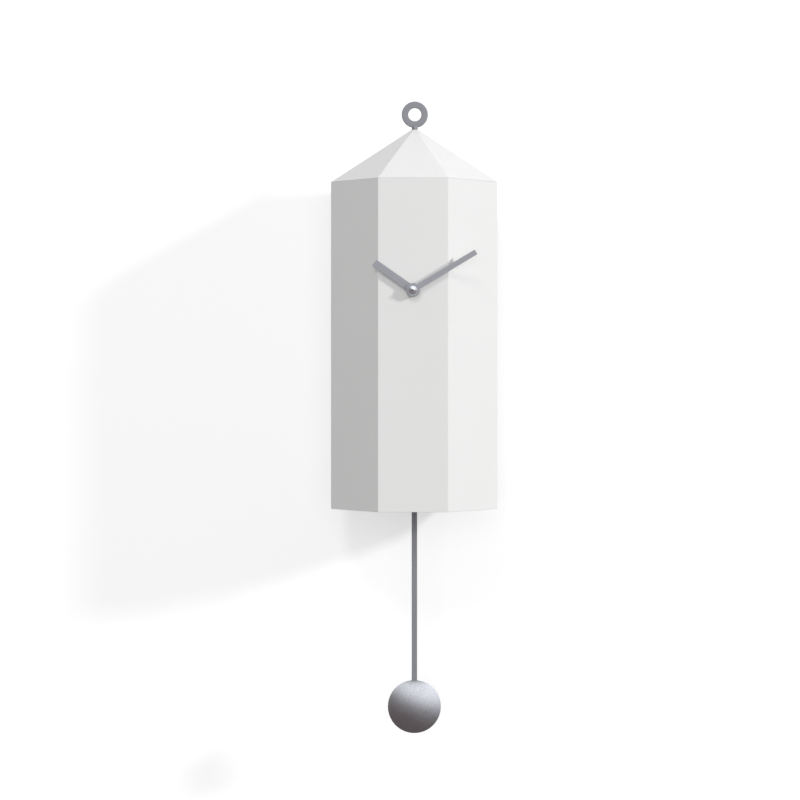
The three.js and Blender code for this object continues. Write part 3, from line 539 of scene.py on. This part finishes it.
def lathe(name, profile, centre, axis, steps=96):
    """A turned piece: profile points are (radius, distance along the axis).

    The profile either starts and ends on the axis or ends on its own first point.
    """
    bm = bmesh.new()
    closed = profile[0] == profile[-1]
    points = profile[:-1] if closed else profile
    rings = []
    for radius, along in points:
        if radius < TINY:
            rings.append([bm.verts.new((0, 0, along))])
            continue
        ring = []
        for step in range(steps):
            angle = 2 * math.pi * step / steps
            ring.append(bm.verts.new((radius * math.cos(angle), radius * math.sin(angle), along)))
        rings.append(ring)
    pairs = list(zip(rings, rings[1:]))
    if closed:
        pairs.append((rings[-1], rings[0]))
    for one, two in pairs:
        for step in range(steps):
            after = (step + 1) % steps
            if len(one) == 1:
                bm.faces.new((one[0], two[step], two[after]))
            elif len(two) == 1:
                bm.faces.new((one[step], one[after], two[0]))
            else:
                bm.faces.new((one[step], one[after], two[after], two[step]))
    if axis == "Y":
        bmesh.ops.rotate(bm, verts=bm.verts, matrix=Matrix.Rotation(math.radians(-90), 3, "X"))
    bmesh.ops.translate(bm, verts=bm.verts, vec=Vector(centre))
    return object_from(bm, name)


def block(name, low, high, edge, segments=3):
    """A rectangular block with rounded edges."""
    bm = bmesh.new()
    bmesh.ops.create_cube(bm, size=1)
    size = Vector(high) - Vector(low)
    bmesh.ops.scale(bm, verts=bm.verts, vec=size)
    bmesh.ops.translate(bm, verts=bm.verts, vec=(Vector(low) + Vector(high)) / 2)
    bmesh.ops.bevel(bm, geom=bm.edges[:], offset=edge, segments=segments, profile=0.5,
                    affect="EDGES")
    return object_from(bm, name)


def joined(first, *others):
    """All the pieces as one object, named as the first."""
    bm = bmesh.new()
    for piece in (first, *others):
        bm.from_mesh(piece.data)
    bm.to_mesh(first.data)
    bm.free()
    for piece in others:
        bpy.data.objects.remove(piece)
    return first


def carve(piece, tool):
    """Cuts the tool out of the piece."""
    modifier = piece.modifiers.new("carve", "BOOLEAN")
    modifier.operation = "DIFFERENCE"
    modifier.solver = "EXACT"
    modifier.object = tool
    depsgraph = bpy.context.evaluated_depsgraph_get()
    mesh = bpy.data.meshes.new_from_object(piece.evaluated_get(depsgraph))
    piece.modifiers.clear()
    piece.data = mesh
    bpy.data.objects.remove(tool)


# ------------------------------------------------------------------ case

FOLD = 1.3 * MM  # outer radius of a fold
SHEET = 1.2 * MM
CLEARANCE = 0.3 * MM
SHEET_EDGE = 0.25 * MM  # rounding of a sheet's cut edge
THIN_EDGE = 0.2 * MM
HALF = cad_high.x  # the case's half width
MID_Y = centre_of("roof").y
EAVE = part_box("roof")[0].z + 11 * MM  # the roof's lip hangs 11 mm below its eave
ROOF_SEAM = 0.08 * MM  # between the case's top edge and the roof's hem
ROOF_SLOPE = 52.4 / 75  # rise of a roof facet over its run
LIP_GAP = 28 * MM  # half of the opening in the roof's lip, at the back
BUSH_HOLE = 4.4 * MM  # radius of the hole for the movement's bush
BASE_LOW = -192 * MM
BASE_TOP = -190.5 * MM
KEYHOLE_Z = 62 * MM  # centre of the keyhole's round entry
KEYHOLE_ENTRY = 4.6 * MM
KEYHOLE_TOP_Z = 72 * MM  # centre of its rounded upper end
KEYHOLE_HALF = 2.5 * MM
BACK_SCREWS = [centre_of(f"back_screw_{n}") for n in range(1, 5)]
BASE_SCREWS = [centre_of(f"base_screw_{n}") for n in range(1, 5)]


def octagon(apothem):
    """Corners of an octagon about the case's axis, anticlockwise from the rear facet's +X end."""
    corners = []
    for index in range(8):
        angle = math.radians(90 - 22.5 + 45 * index)
        reach = apothem / math.cos(math.pi / 8)
        corners.append((reach * math.cos(angle), MID_Y + reach * math.sin(angle)))
    return corners


def open_wall(outer, thick, gap, fold):
    """Section of a folded wall round the octagon, open between -gap and +gap in its rear facet."""
    ahead = octagon(outer)
    behind = octagon(outer - thick)
    rear_outer, rear_inner = ahead[0][1], behind[0][1]
    run_out = ahead[1:] + ahead[:1]
    run_in = behind[1:] + behind[:1]
    corners = [(-gap, rear_outer)] + run_out + [(gap, rear_outer), (gap, rear_inner)]
    corners += run_in[::-1] + [(-gap, rear_inner)]
    least = 0.3 * MM
    inner_fold = max(fold - thick, least)
    radii = [least] + [fold] * 8 + [least, least] + [inner_fold] * 8 + [least]
    return rounded(corners, radii)


def make_case():
    """Folded wall, strip over the back panel, flange that takes its screws, tabs for the base."""
    low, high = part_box("case_shell")
    panel_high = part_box("back_panel")[1]
    gap = panel_high.x + CLEARANCE
    top = EAVE - ROOF_SEAM
    wall = slab("case_body", [open_wall(HALF, SHEET, gap, FOLD)], low.z, top, SHEET_EDGE, "Z")
    deep = 5 * MM
    shaft = [(0, -deep), (BUSH_HOLE, -deep), (BUSH_HOLE, deep), (0, deep)]
    carve(wall, lathe("tool", shaft, (0, low.y, 0), "Y"))
    strip = block("strip", (-gap - MM, -SHEET, panel_high.z + CLEARANCE),
                  (gap + MM, 0, high.z - 0.2 * MM), THIN_EDGE)
    flange_back = -1.8 * MM
    flange_half = 32.2 * MM
    window = 23 * MM
    frame_rim = rectangle((-flange_half, low.z + MM), (flange_half, panel_high.z + 2 * MM), MM)
    frame_hole = rectangle((-window, low.z + 12 * MM), (window, panel_high.z - 8 * MM), 2 * MM)
    outlines = [frame_rim, frame_hole]
    flange = slab("flange", outlines, flange_back - SHEET, flange_back, THIN_EDGE, "Y")
    reach, half = 12 * MM, 8 * MM
    seat = HALF - SHEET / 2
    tab_low = BASE_TOP + 0.4 * MM
    tab_high = tab_low + SHEET
    spans = [
        ((-seat, reach - seat), (MID_Y - half, MID_Y + half)),
        ((seat - reach, seat), (MID_Y - half, MID_Y + half)),
        ((-half, half), (MID_Y - seat, MID_Y - seat + reach)),
        ((-half, half), (-14 * MM, -2.4 * MM)),
    ]
    tabs = [block("tab", (x0, y0, tab_low), (x1, y1, tab_high), THIN_EDGE)
            for (x0, x1), (y0, y1) in spans]
    finish_piece(joined(wall, strip, flange, *tabs), "case_shell")


def make_roof():
    """Eight facets round a flat tip with the ring's hole, and the lip that drops into the case."""
    low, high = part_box("roof")
    stem_hole = 2.2 * MM
    tip_half = 2.9 * MM
    inner_eave = HALF - SHEET * math.hypot(1, ROOF_SLOPE) / ROOF_SLOPE
    boss_z = 143.5 * MM  # underside of the flat seat below the tip
    inner_top = inner_eave - (boss_z - EAVE) / ROOF_SLOPE
    levels = [(stem_hole, high.z), (tip_half, high.z), (HALF, EAVE), (inner_eave, EAVE),
              (inner_top, boss_z), (stem_hole, boss_z)]
    bm = bmesh.new()
    rings = [[bm.verts.new((x, y, z)) for x, y in octagon(apothem)] for apothem, z in levels]
    for index, ring in enumerate(rings):
        following = rings[(index + 1) % len(rings)]
        for corner in range(8):
            after = (corner + 1) % 8
            bm.faces.new((ring[corner], ring[after], following[after], following[corner]))
    bm.edges.ensure_lookup_table()
    tip, rim = set(rings[1]), set(rings[2])
    ridges = [e for e in bm.edges if len(tip & set(e.verts)) == 1 and len(rim & set(e.verts)) == 1]
    bmesh.ops.bevel(bm, geom=ridges, offset=0.7 * MM, segments=4, profile=0.5, affect="EDGES")
    bmesh.ops.bevel(bm, geom=[e for e in bm.edges if on_hem(e)], offset=0.22 * MM, segments=3,
                    profile=0.5, affect="EDGES")
    keep_inside_octagon(bm, HALF)
    skin = object_from(bm, "roof_skin")
    section = open_wall(HALF - SHEET - CLEARANCE, SHEET, LIP_GAP, FOLD)
    lip = slab("roof_lip", [section], low.z, EAVE + 0.9 * MM, SHEET_EDGE, "Z")
    finish_piece(joined(skin, lip), "roof")


def on_hem(edge):
    """True for an edge of the roof's outer rim, at the eave."""
    level = all(abs(vert.co.z - EAVE) < 1e-6 for vert in edge.verts)
    middle = (edge.verts[0].co + edge.verts[1].co) / 2
    across, ahead = abs(middle.x), abs(middle.y - MID_Y)
    return level and max(across, ahead, (across + ahead) / math.sqrt(2)) > HALF - 0.5 * MM


def keep_inside_octagon(bm, apothem):
    """Pull back the corner points that a bevel has pushed past the octagon's sides."""
    for vert in bm.verts:
        for index in range(8):
            angle = math.radians(45 * index)
            across, ahead = math.cos(angle), math.sin(angle)
            past = vert.co.x * across + (vert.co.y - MID_Y) * ahead - apothem
            if past > 0:
                vert.co.x -= past * across
                vert.co.y -= past * ahead


def keyhole():
    """Round entry with a narrower slot above it."""
    start = math.degrees(math.asin(KEYHOLE_HALF / KEYHOLE_ENTRY))
    lower = arc((0, KEYHOLE_Z), KEYHOLE_ENTRY, 90 + start, 450 - start, 40)
    return lower + arc((0, KEYHOLE_TOP_Z), KEYHOLE_HALF, 0, 180, 16)


def make_back_panel():
    """Back panel with door opening, keyhole and screw holes; hanger plate behind the keyhole."""
    low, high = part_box("back_panel")
    door_low, door_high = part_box("battery_door")
    outlines = [
        rectangle((low.x, low.z), (high.x, high.z), 1.2 * MM),
        rectangle((door_low.x - CLEARANCE, door_low.z - CLEARANCE),
                  (door_high.x + CLEARANCE, door_high.z + CLEARANCE), 1.3 * MM),
        keyhole(),
    ]
    outlines += [circle((at.x, at.z), 2.6 * MM, 32) for at in BACK_SCREWS]
    finish_piece(slab("back_sheet", outlines, low.y, high.y, SHEET_EDGE, "Y"), "back_panel")
    low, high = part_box("hanger_plate")
    outlines = [rectangle((low.x, low.z), (high.x, high.z), 2 * MM), keyhole()]
    finish_piece(slab("hanger_strip", outlines, low.y, high.y, THIN_EDGE, "Y"), "hanger_plate")


def around(node, half_x, half_y, radius, steps=5):
    """Outline of an opening in the base plate, centred on this node."""
    at = centre_of(node)
    return rectangle((at.x - half_x, at.y - half_y), (at.x + half_x, at.y + half_y), radius, steps)


def make_base_plate():
    """Base plate with pendulum slot, sound slots and control holes; the board's two pillars."""
    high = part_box("base_plate")[1]
    corners = octagon(high.x)
    rear = high.y
    inset = corners[0][1] - rear
    cut_rear = [(corners[0][0] + inset, rear), (corners[1][0] - inset, rear)]
    outlines = [
        rounded(cut_rear + corners[2:], 1.2 * MM),
        around("pendulum_rod", 28 * MM, 5 * MM, 4.9 * MM, 10),
    ]
    grille_radius, pitch, slot_half = 20 * MM, 5 * MM, 1.2 * MM
    speaker = centre_of("speaker_magnet")
    for row in range(-3, 4):
        reach = math.sqrt(grille_radius ** 2 - (row * pitch) ** 2)
        y = speaker.y + row * pitch
        outlines.append(rectangle((-reach, y - slot_half), (reach, y + slot_half), 1.15 * MM, 6))
    holes = [("volume_knob", 7.4 * MM, 64), ("test_button", 3.9 * MM, 48),
             ("light_sensor", 2.8 * MM, 48)]
    for node, hole, steps in holes:
        at = centre_of(node)
        outlines.append(circle((at.x, at.y), hole, steps))
    outlines.append(around("mode_switch", 5.9 * MM, 2.4 * MM, 0.6 * MM))
    outlines += [circle((at.x, at.y), 1.6 * MM, 32) for at in BASE_SCREWS]
    plate = slab("base_sheet", outlines, BASE_LOW, BASE_TOP, SHEET_EDGE, "Z")
    pillars = []
    for number in (1, 2):
        at = centre_of(f"board_screw_{number}")
        tube = [(1.1, -0.3), (2.6, -0.3), (2.6, 7.0), (2.4, 7.2),
                (1.3, 7.2), (1.1, 7.0), (1.1, -0.3)]
        profile = [(r * MM, BASE_TOP + h * MM) for r, h in tube]
        pillars.append(lathe("pillar", profile, (at.x, at.y, 0), "Z", 40))
    finish_piece(joined(plate, *pillars), "base_plate")


SHANK = 1 * MM  # radius of a screw's shank
RECESS = 1.35 * MM  # half width of the cross in a screw's head


def cut_recess(screw, depth, at, along):
    """Cuts a cross recess into a screw head with two thin crossed blades."""
    thin = RECESS * 0.2
    for half_x, half_y in ((RECESS, thin), (thin, RECESS)):
        blade = block("tool", (-half_x, -half_y, -depth), (half_x, half_y, depth), 0.08 * MM, 1)
        if along == "Y":
            blade.data.transform(Matrix.Rotation(math.radians(90), 4, "X"))
        blade.data.transform(Matrix.Translation(at))
        carve(screw, blade)


def make_screws():
    """Countersunk screws of the back panel, then the pan heads of the base plate and the board."""
    for number, at in enumerate(BACK_SCREWS, 1):
        low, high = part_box(f"back_screw_{number}")
        top = high.y
        radius = (high.x - low.x) / 2
        profile = [(0, low.y), (SHANK, low.y), (SHANK, top - 1.2 * MM), (radius, top - 0.15 * MM),
                   (radius - 0.1 * MM, top), (0, top)]
        screw = lathe(f"panel_screw_{number}", profile, (at.x, 0, at.z), "Y", 40)
        cut_recess(screw, 0.7 * MM, Vector((at.x, top, at.z)), "Y")
        finish_piece(screw, f"back_screw_{number}")
    heads = [(f"base_screw_{n}", f"foot_screw_{n}", 1) for n in range(1, 5)]
    heads += [(f"board_screw_{n}", f"pillar_screw_{n}", -1) for n in range(1, 3)]
    for node, name, side in heads:
        low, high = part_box(node)
        middle = (low + high) / 2
        radius = (high.x - low.x) / 2
        head_end, shank_end = (low.z, high.z) if side > 0 else (high.z, low.z)
        seat = head_end + side * 1.5 * MM
        profile = [(0, head_end), (radius * 0.62, head_end),
                   (radius * 0.85, head_end + side * 0.25 * MM),
                   (radius, head_end + side * 0.75 * MM),
                   (radius, seat), (SHANK, seat), (SHANK, shank_end), (0, shank_end)]
        screw = lathe(name, profile, (middle.x, middle.y, 0), "Z", 40)
        cut_recess(screw, 0.8 * MM, Vector((middle.x, middle.y, head_end)), "Z")
        finish_piece(screw, node)


# ------------------------------------------------------------------ ring, hands and pendulum

STEM_HALF = 2 * MM
MINUTES = 9.83  # past ten, as the photograph shows
MINUTE_SIZE = (64.7 * MM, 4.7 * MM)  # length and width
HOUR_SIZE = (41.5 * MM, 6.5 * MM)
HAND_HUB = 6 * MM
ARBOR_HOLE = 1.7 * MM
ROD_HALF = 2.45 * MM


def make_ring():
    """Round-edged ring and the stem that passes through the roof's tip."""
    low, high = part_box("hanging_ring")
    outer = (high.x - low.x) / 2
    inner = 6.05 * MM
    half = 1.6 * MM  # of the ring's thickness
    centre_z = high.z - outer
    edge = 0.8 * MM
    profile = arc((outer - edge, half - edge), edge, 0, 90, 5)
    profile += arc((inner + edge, half - edge), edge, 90, 180, 5)
    profile += arc((inner + edge, edge - half), edge, 180, 270, 5)
    profile += arc((outer - edge, edge - half), edge, 270, 360, 5)
    profile.append(profile[0])
    eye = lathe("ring_eye", profile, (0, MID_Y, centre_z), "Y", 96)
    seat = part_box("roof")[1].z + 0.25 * MM
    neck_top = centre_z - outer + 1.2 * MM
    stem = [(0, low.z), (1.7 * MM, low.z), (STEM_HALF, low.z + 0.4 * MM), (STEM_HALF, seat),
            (2.6 * MM, seat), (2.75 * MM, seat + 0.2 * MM), (2.7 * MM, seat + 0.9 * MM),
            (2.55 * MM, neck_top), (0, neck_top)]
    neck = lathe("neck", stem, (0, MID_Y, 0), "Z", 48)
    finish_piece(joined(eye, neck), "hanging_ring", ROUND_SHARP)


def baton(name, node, size, degrees, bore):
    """A flat hand: a straight baton that grows out of a round hub, turned clockwise from 12."""
    low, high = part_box(node)
    length, width = size
    half, corner = width / 2, 0.5 * MM
    start = math.degrees(math.acos(half / HAND_HUB))
    outline = arc((half - corner, length - corner), corner, 0, 90, 4)
    outline += arc((corner - half, length - corner), corner, 90, 180, 4)
    outline += arc((0, 0), HAND_HUB, 180 - start, 360 + start, 60)
    turn = Matrix.Rotation(math.radians(-degrees), 2)
    turned = [tuple(turn @ Vector(point)) for point in outline]
    blade = slab(name, [turned, circle((0, 0), bore, 40)], low.y, high.y, 0.15 * MM, "Y")
    finish_piece(blade, node)


def make_hands():
    """Both hands, and the domed cap nut that holds the minute hand."""
    baton("minute_baton", "minute_hand", MINUTE_SIZE, MINUTES * 6, 1.8 * MM)
    baton("hour_baton", "hour_hand", HOUR_SIZE, (10 + MINUTES / 60) * 30, 2.8 * MM)
    low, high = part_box("cap_nut")
    seat, front, radius = high.y, low.y, high.x
    flange = 0.5 * MM
    dome_radius = radius * 0.8
    dome_base = seat - 1.0 * MM
    rise = dome_base - front
    profile = [(ARBOR_HOLE, seat), (radius - 0.1 * MM, seat), (radius, seat - 0.1 * MM),
               (radius, seat - flange), (radius - 0.12 * MM, seat - flange - 0.1 * MM),
               (dome_radius, dome_base + 0.2 * MM)]
    profile += [(dome_radius * math.cos(a), dome_base - rise * math.sin(a))
                for a in (math.radians(5 * n) for n in range(0, 18))]
    profile += [(0, front)]
    hole = [(0, seat - 1.5 * MM), (ARBOR_HOLE, seat - 1.5 * MM)]
    finish_piece(lathe("cap_dome", hole + profile, (0, 0, 0), "Y", 64), "cap_nut", ROUND_SHARP)


def dome(sphere, front, start, end, steps):
    """Profile of a dome of this sphere radius, between two angles off its axis in degrees."""
    profile = []
    for step in range(steps + 1):
        angle = math.radians(start + (end - start) * step / steps)
        profile.append((sphere * math.sin(angle), front + sphere * (1 - math.cos(angle))))
    return profile


def make_rod():
    """Flat strip with a round eye at its top."""
    low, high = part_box("pendulum_rod")
    half = ROD_HALF
    eye_radius = high.x
    eye_z = high.z - eye_radius
    start = math.degrees(math.asin(half / eye_radius))
    outline = arc((0, eye_z), eye_radius, -90 + start, 270 - start, 40)
    bevel = 0.4 * MM
    outline += [(-half, low.z + bevel), (bevel - half, low.z)]
    outline += [(half - bevel, low.z), (half, low.z + bevel)]
    eye = circle((0, eye_z), 1.5 * MM, 32)
    strip = slab("rod_strip", [outline, eye], low.y, high.y, THIN_EDGE, "Y")
    finish_piece(strip, "pendulum_rod")


def make_bob():
    """Domed disc, its flat back plate and the clip that grips the rod."""
    low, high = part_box("bob_shell")
    centre = (low + high) / 2
    radius = (high.x - low.x) / 2
    rim_y, front = high.y, low.y
    corner = rim_y - 1.8 * MM
    wall = 1.0 * MM
    rise = corner - front
    sphere = (radius ** 2 + rise ** 2) / (2 * rise)
    opening = math.asin(radius / sphere)
    fillet = 1.5 * MM
    inner_radius = radius - wall
    inner_sphere = (inner_radius ** 2 + rise ** 2) / (2 * rise)
    outside = dome(sphere, front, math.degrees(opening) - 1.5, 0, 28)
    inner_opening = math.asin(inner_radius / inner_sphere)
    inside = dome(inner_sphere, front + wall, 0, math.degrees(inner_opening), 14)
    sink = 0.62 * fillet  # sets the fillet back so that it runs into the dome
    turn = [(radius - fillet + fillet * math.cos(a), corner + sink - fillet * math.sin(a))
            for a in (math.radians(8 * step) for step in range(6))]
    rim = [(inner_radius, rim_y - 0.2 * MM), (inner_radius + 0.2 * MM, rim_y),
           (radius - 0.3 * MM, rim_y), (radius, rim_y - 0.3 * MM)] + turn
    disc = lathe("bob_disc", inside + rim + outside, (0, 0, centre.z), "Y", 128)
    finish_piece(disc, "bob_shell", ROUND_SHARP)

    low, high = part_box("bob_back")
    radius = (high.x - low.x) / 2
    profile = [(0, low.y), (radius - 0.2 * MM, low.y), (radius, low.y + 0.2 * MM),
               (radius, high.y - 0.3 * MM), (radius - 0.3 * MM, high.y), (0, high.y)]
    finish_piece(lathe("bob_cover", profile, (0, 0, centre.z), "Y", 96), "bob_back")

    low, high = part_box("bob_clip")
    gap = ROD_HALF + CLEARANCE
    section = [(low.x, low.y), (low.x, high.y), (high.x, high.y), (high.x, low.y), (gap, low.y),
               (gap, high.y - 1.2 * MM), (-gap, high.y - 1.2 * MM), (-gap, low.y)]
    clip = slab("rod_clip", [rounded(section[::-1], 0.25 * MM)], low.z, high.z, THIN_EDGE, "Z")
    finish_piece(clip, "bob_clip")


# ------------------------------------------------------------------ controls and battery door

def fluted(radius, flutes, depth, steps=6):
    """Outline of a fluted knob."""
    points = []
    total = flutes * steps
    for step in range(total):
        angle = 2 * math.pi * step / total
        reach = radius - depth * (0.5 - 0.5 * math.cos(flutes * angle)) ** 2
        points.append((reach * math.cos(angle), reach * math.sin(angle)))
    return points


def make_volume_knob():
    """Fluted wheel with a pointer groove, on a spindle."""
    low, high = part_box("volume_knob")
    at = (low + high) / 2
    radius = (high.x - low.x) / 2
    rim = [(at.x + u, at.y + v) for u, v in fluted(radius, 24, 0.5 * MM)]
    disc_top = -187.5 * MM
    knob = slab("volume_wheel", [rim], low.z, disc_top, 0.4 * MM, "Z")
    mark = block("tool", (at.x - 0.5 * MM, at.y + 1.5 * MM, low.z - MM),
                 (at.x + 0.5 * MM, at.y + 6 * MM, low.z + 0.5 * MM), 0.15 * MM)
    carve(knob, mark)
    shaft_low = disc_top - 0.5 * MM
    shaft = [(0, shaft_low), (2.5 * MM, shaft_low), (2.5 * MM, high.z - 0.3 * MM),
             (2.2 * MM, high.z), (0, high.z)]
    spindle = lathe("spindle", shaft, (at.x, at.y, 0), "Z", 40)
    finish_piece(joined(knob, spindle), "volume_knob")


def make_test_button():
    """Round push button with a collar behind the base plate."""
    low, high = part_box("test_button")
    at = (low + high) / 2
    # radii and heights in millimetres, from the button's face and from the base plate's top
    face = [(0, 0), (2.6, 0), (3.2, 0.15), (3.45, 0.45), (3.5, 0.9)]
    stem = [(3.5, 0.6), (5, 0.6), (5, 1.6), (4.8, 1.8), (2, 1.8)]
    cap = [(r * MM, low.z + h * MM) for r, h in face]
    cap += [(r * MM, BASE_TOP + h * MM) for r, h in stem]
    cap += [(2 * MM, high.z - 0.2 * MM), (1.8 * MM, high.z), (0, high.z)]
    finish_piece(lathe("test_key", cap, (at.x, at.y, 0), "Z", 56), "test_button", ROUND_SHARP)


def make_mode_switch():
    """Slide with a ribbed thumb piece."""
    low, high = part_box("mode_switch")
    at = (low + high) / 2
    slide = block("mode_slide", (low.x, low.y, high.z - 1.2 * MM), high, THIN_EDGE)
    thumb = block("thumb", (at.x - 2.5 * MM, at.y - 2 * MM, low.z),
                  (at.x + 2.5 * MM, at.y + 2 * MM, high.z - MM), 0.35 * MM)
    for rib in range(-2, 3):
        x = at.x + rib * 0.9 * MM
        groove = block("tool", (x - 0.2 * MM, at.y - 3 * MM, low.z - MM),
                       (x + 0.2 * MM, at.y + 3 * MM, low.z + 0.3 * MM), 0.05 * MM, 1)
        carve(thumb, groove)
    finish_piece(joined(slide, thumb), "mode_switch")


def make_light_sensor():
    """Small dark dome with a collar behind the base plate."""
    low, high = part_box("light_sensor")
    at = (low + high) / 2
    radius, collar_low = 2.5 * MM, BASE_TOP + CLEARANCE
    skirt = [(radius, collar_low), (3.8 * MM, collar_low), (3.8 * MM, high.z - 0.2 * MM),
             (3.6 * MM, high.z), (0, high.z)]
    lens = lathe("sensor_dome", dome(radius, low.z, 0, 90, 12) + skirt, (at.x, at.y, 0), "Z", 48)
    finish_piece(lens, "light_sensor", ROUND_SHARP)


def make_door():
    """Battery door: a lid with finger grooves outside and two short tongues inside."""
    low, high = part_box("battery_door")
    lid_inner = -1.2 * MM
    rim = rectangle((low.x, low.z), (high.x, high.z), 1.2 * MM)
    lid = slab("door_lid", [rim], lid_inner, high.y, SHEET_EDGE, "Y")
    for row in range(5):
        z = high.z - (6 + row * 2.2) * MM
        half = (9 - row) * MM
        groove = block("tool", (-half, -0.5 * MM, z - 0.55 * MM),
                       (half, MM, z + 0.55 * MM), THIN_EDGE)
        carve(lid, groove)
    tongue_top = lid_inner + 0.1 * MM
    tongues = [block("tongue", (-4 * MM, low.y, z), (4 * MM, tongue_top, z + MM), THIN_EDGE)
               for z in (high.z - 1.8 * MM, low.z + 0.8 * MM)]
    finish_piece(joined(lid, *tongues), "battery_door")


# ------------------------------------------------------------------ everything together

slot_of = {row["node"]: row["material_slot"] for row in frame["record"]["subparts"]}
bodies = frame["record"]["behaviour"]["bodies"]
body_of = {node: body for body, nodes in bodies.items() for node in nodes}

bpy.context.scene.view_settings.view_transform = "Standard"
add_camera()
add_world()
add_stage()
for softbox in SOFTBOXES:
    add_softbox(*softbox)

materials = make_materials()
for node, cad_object in frame["nodes"].items():
    cad_object.data.materials.clear()
    cad_object.data.materials.append(materials[slot_of[node]])

make_case()
make_roof()
make_back_panel()
make_base_plate()
make_screws()
make_ring()
make_hands()
make_rod()
make_bob()
make_volume_knob()
make_test_button()
make_mode_switch()
make_light_sensor()
make_door()
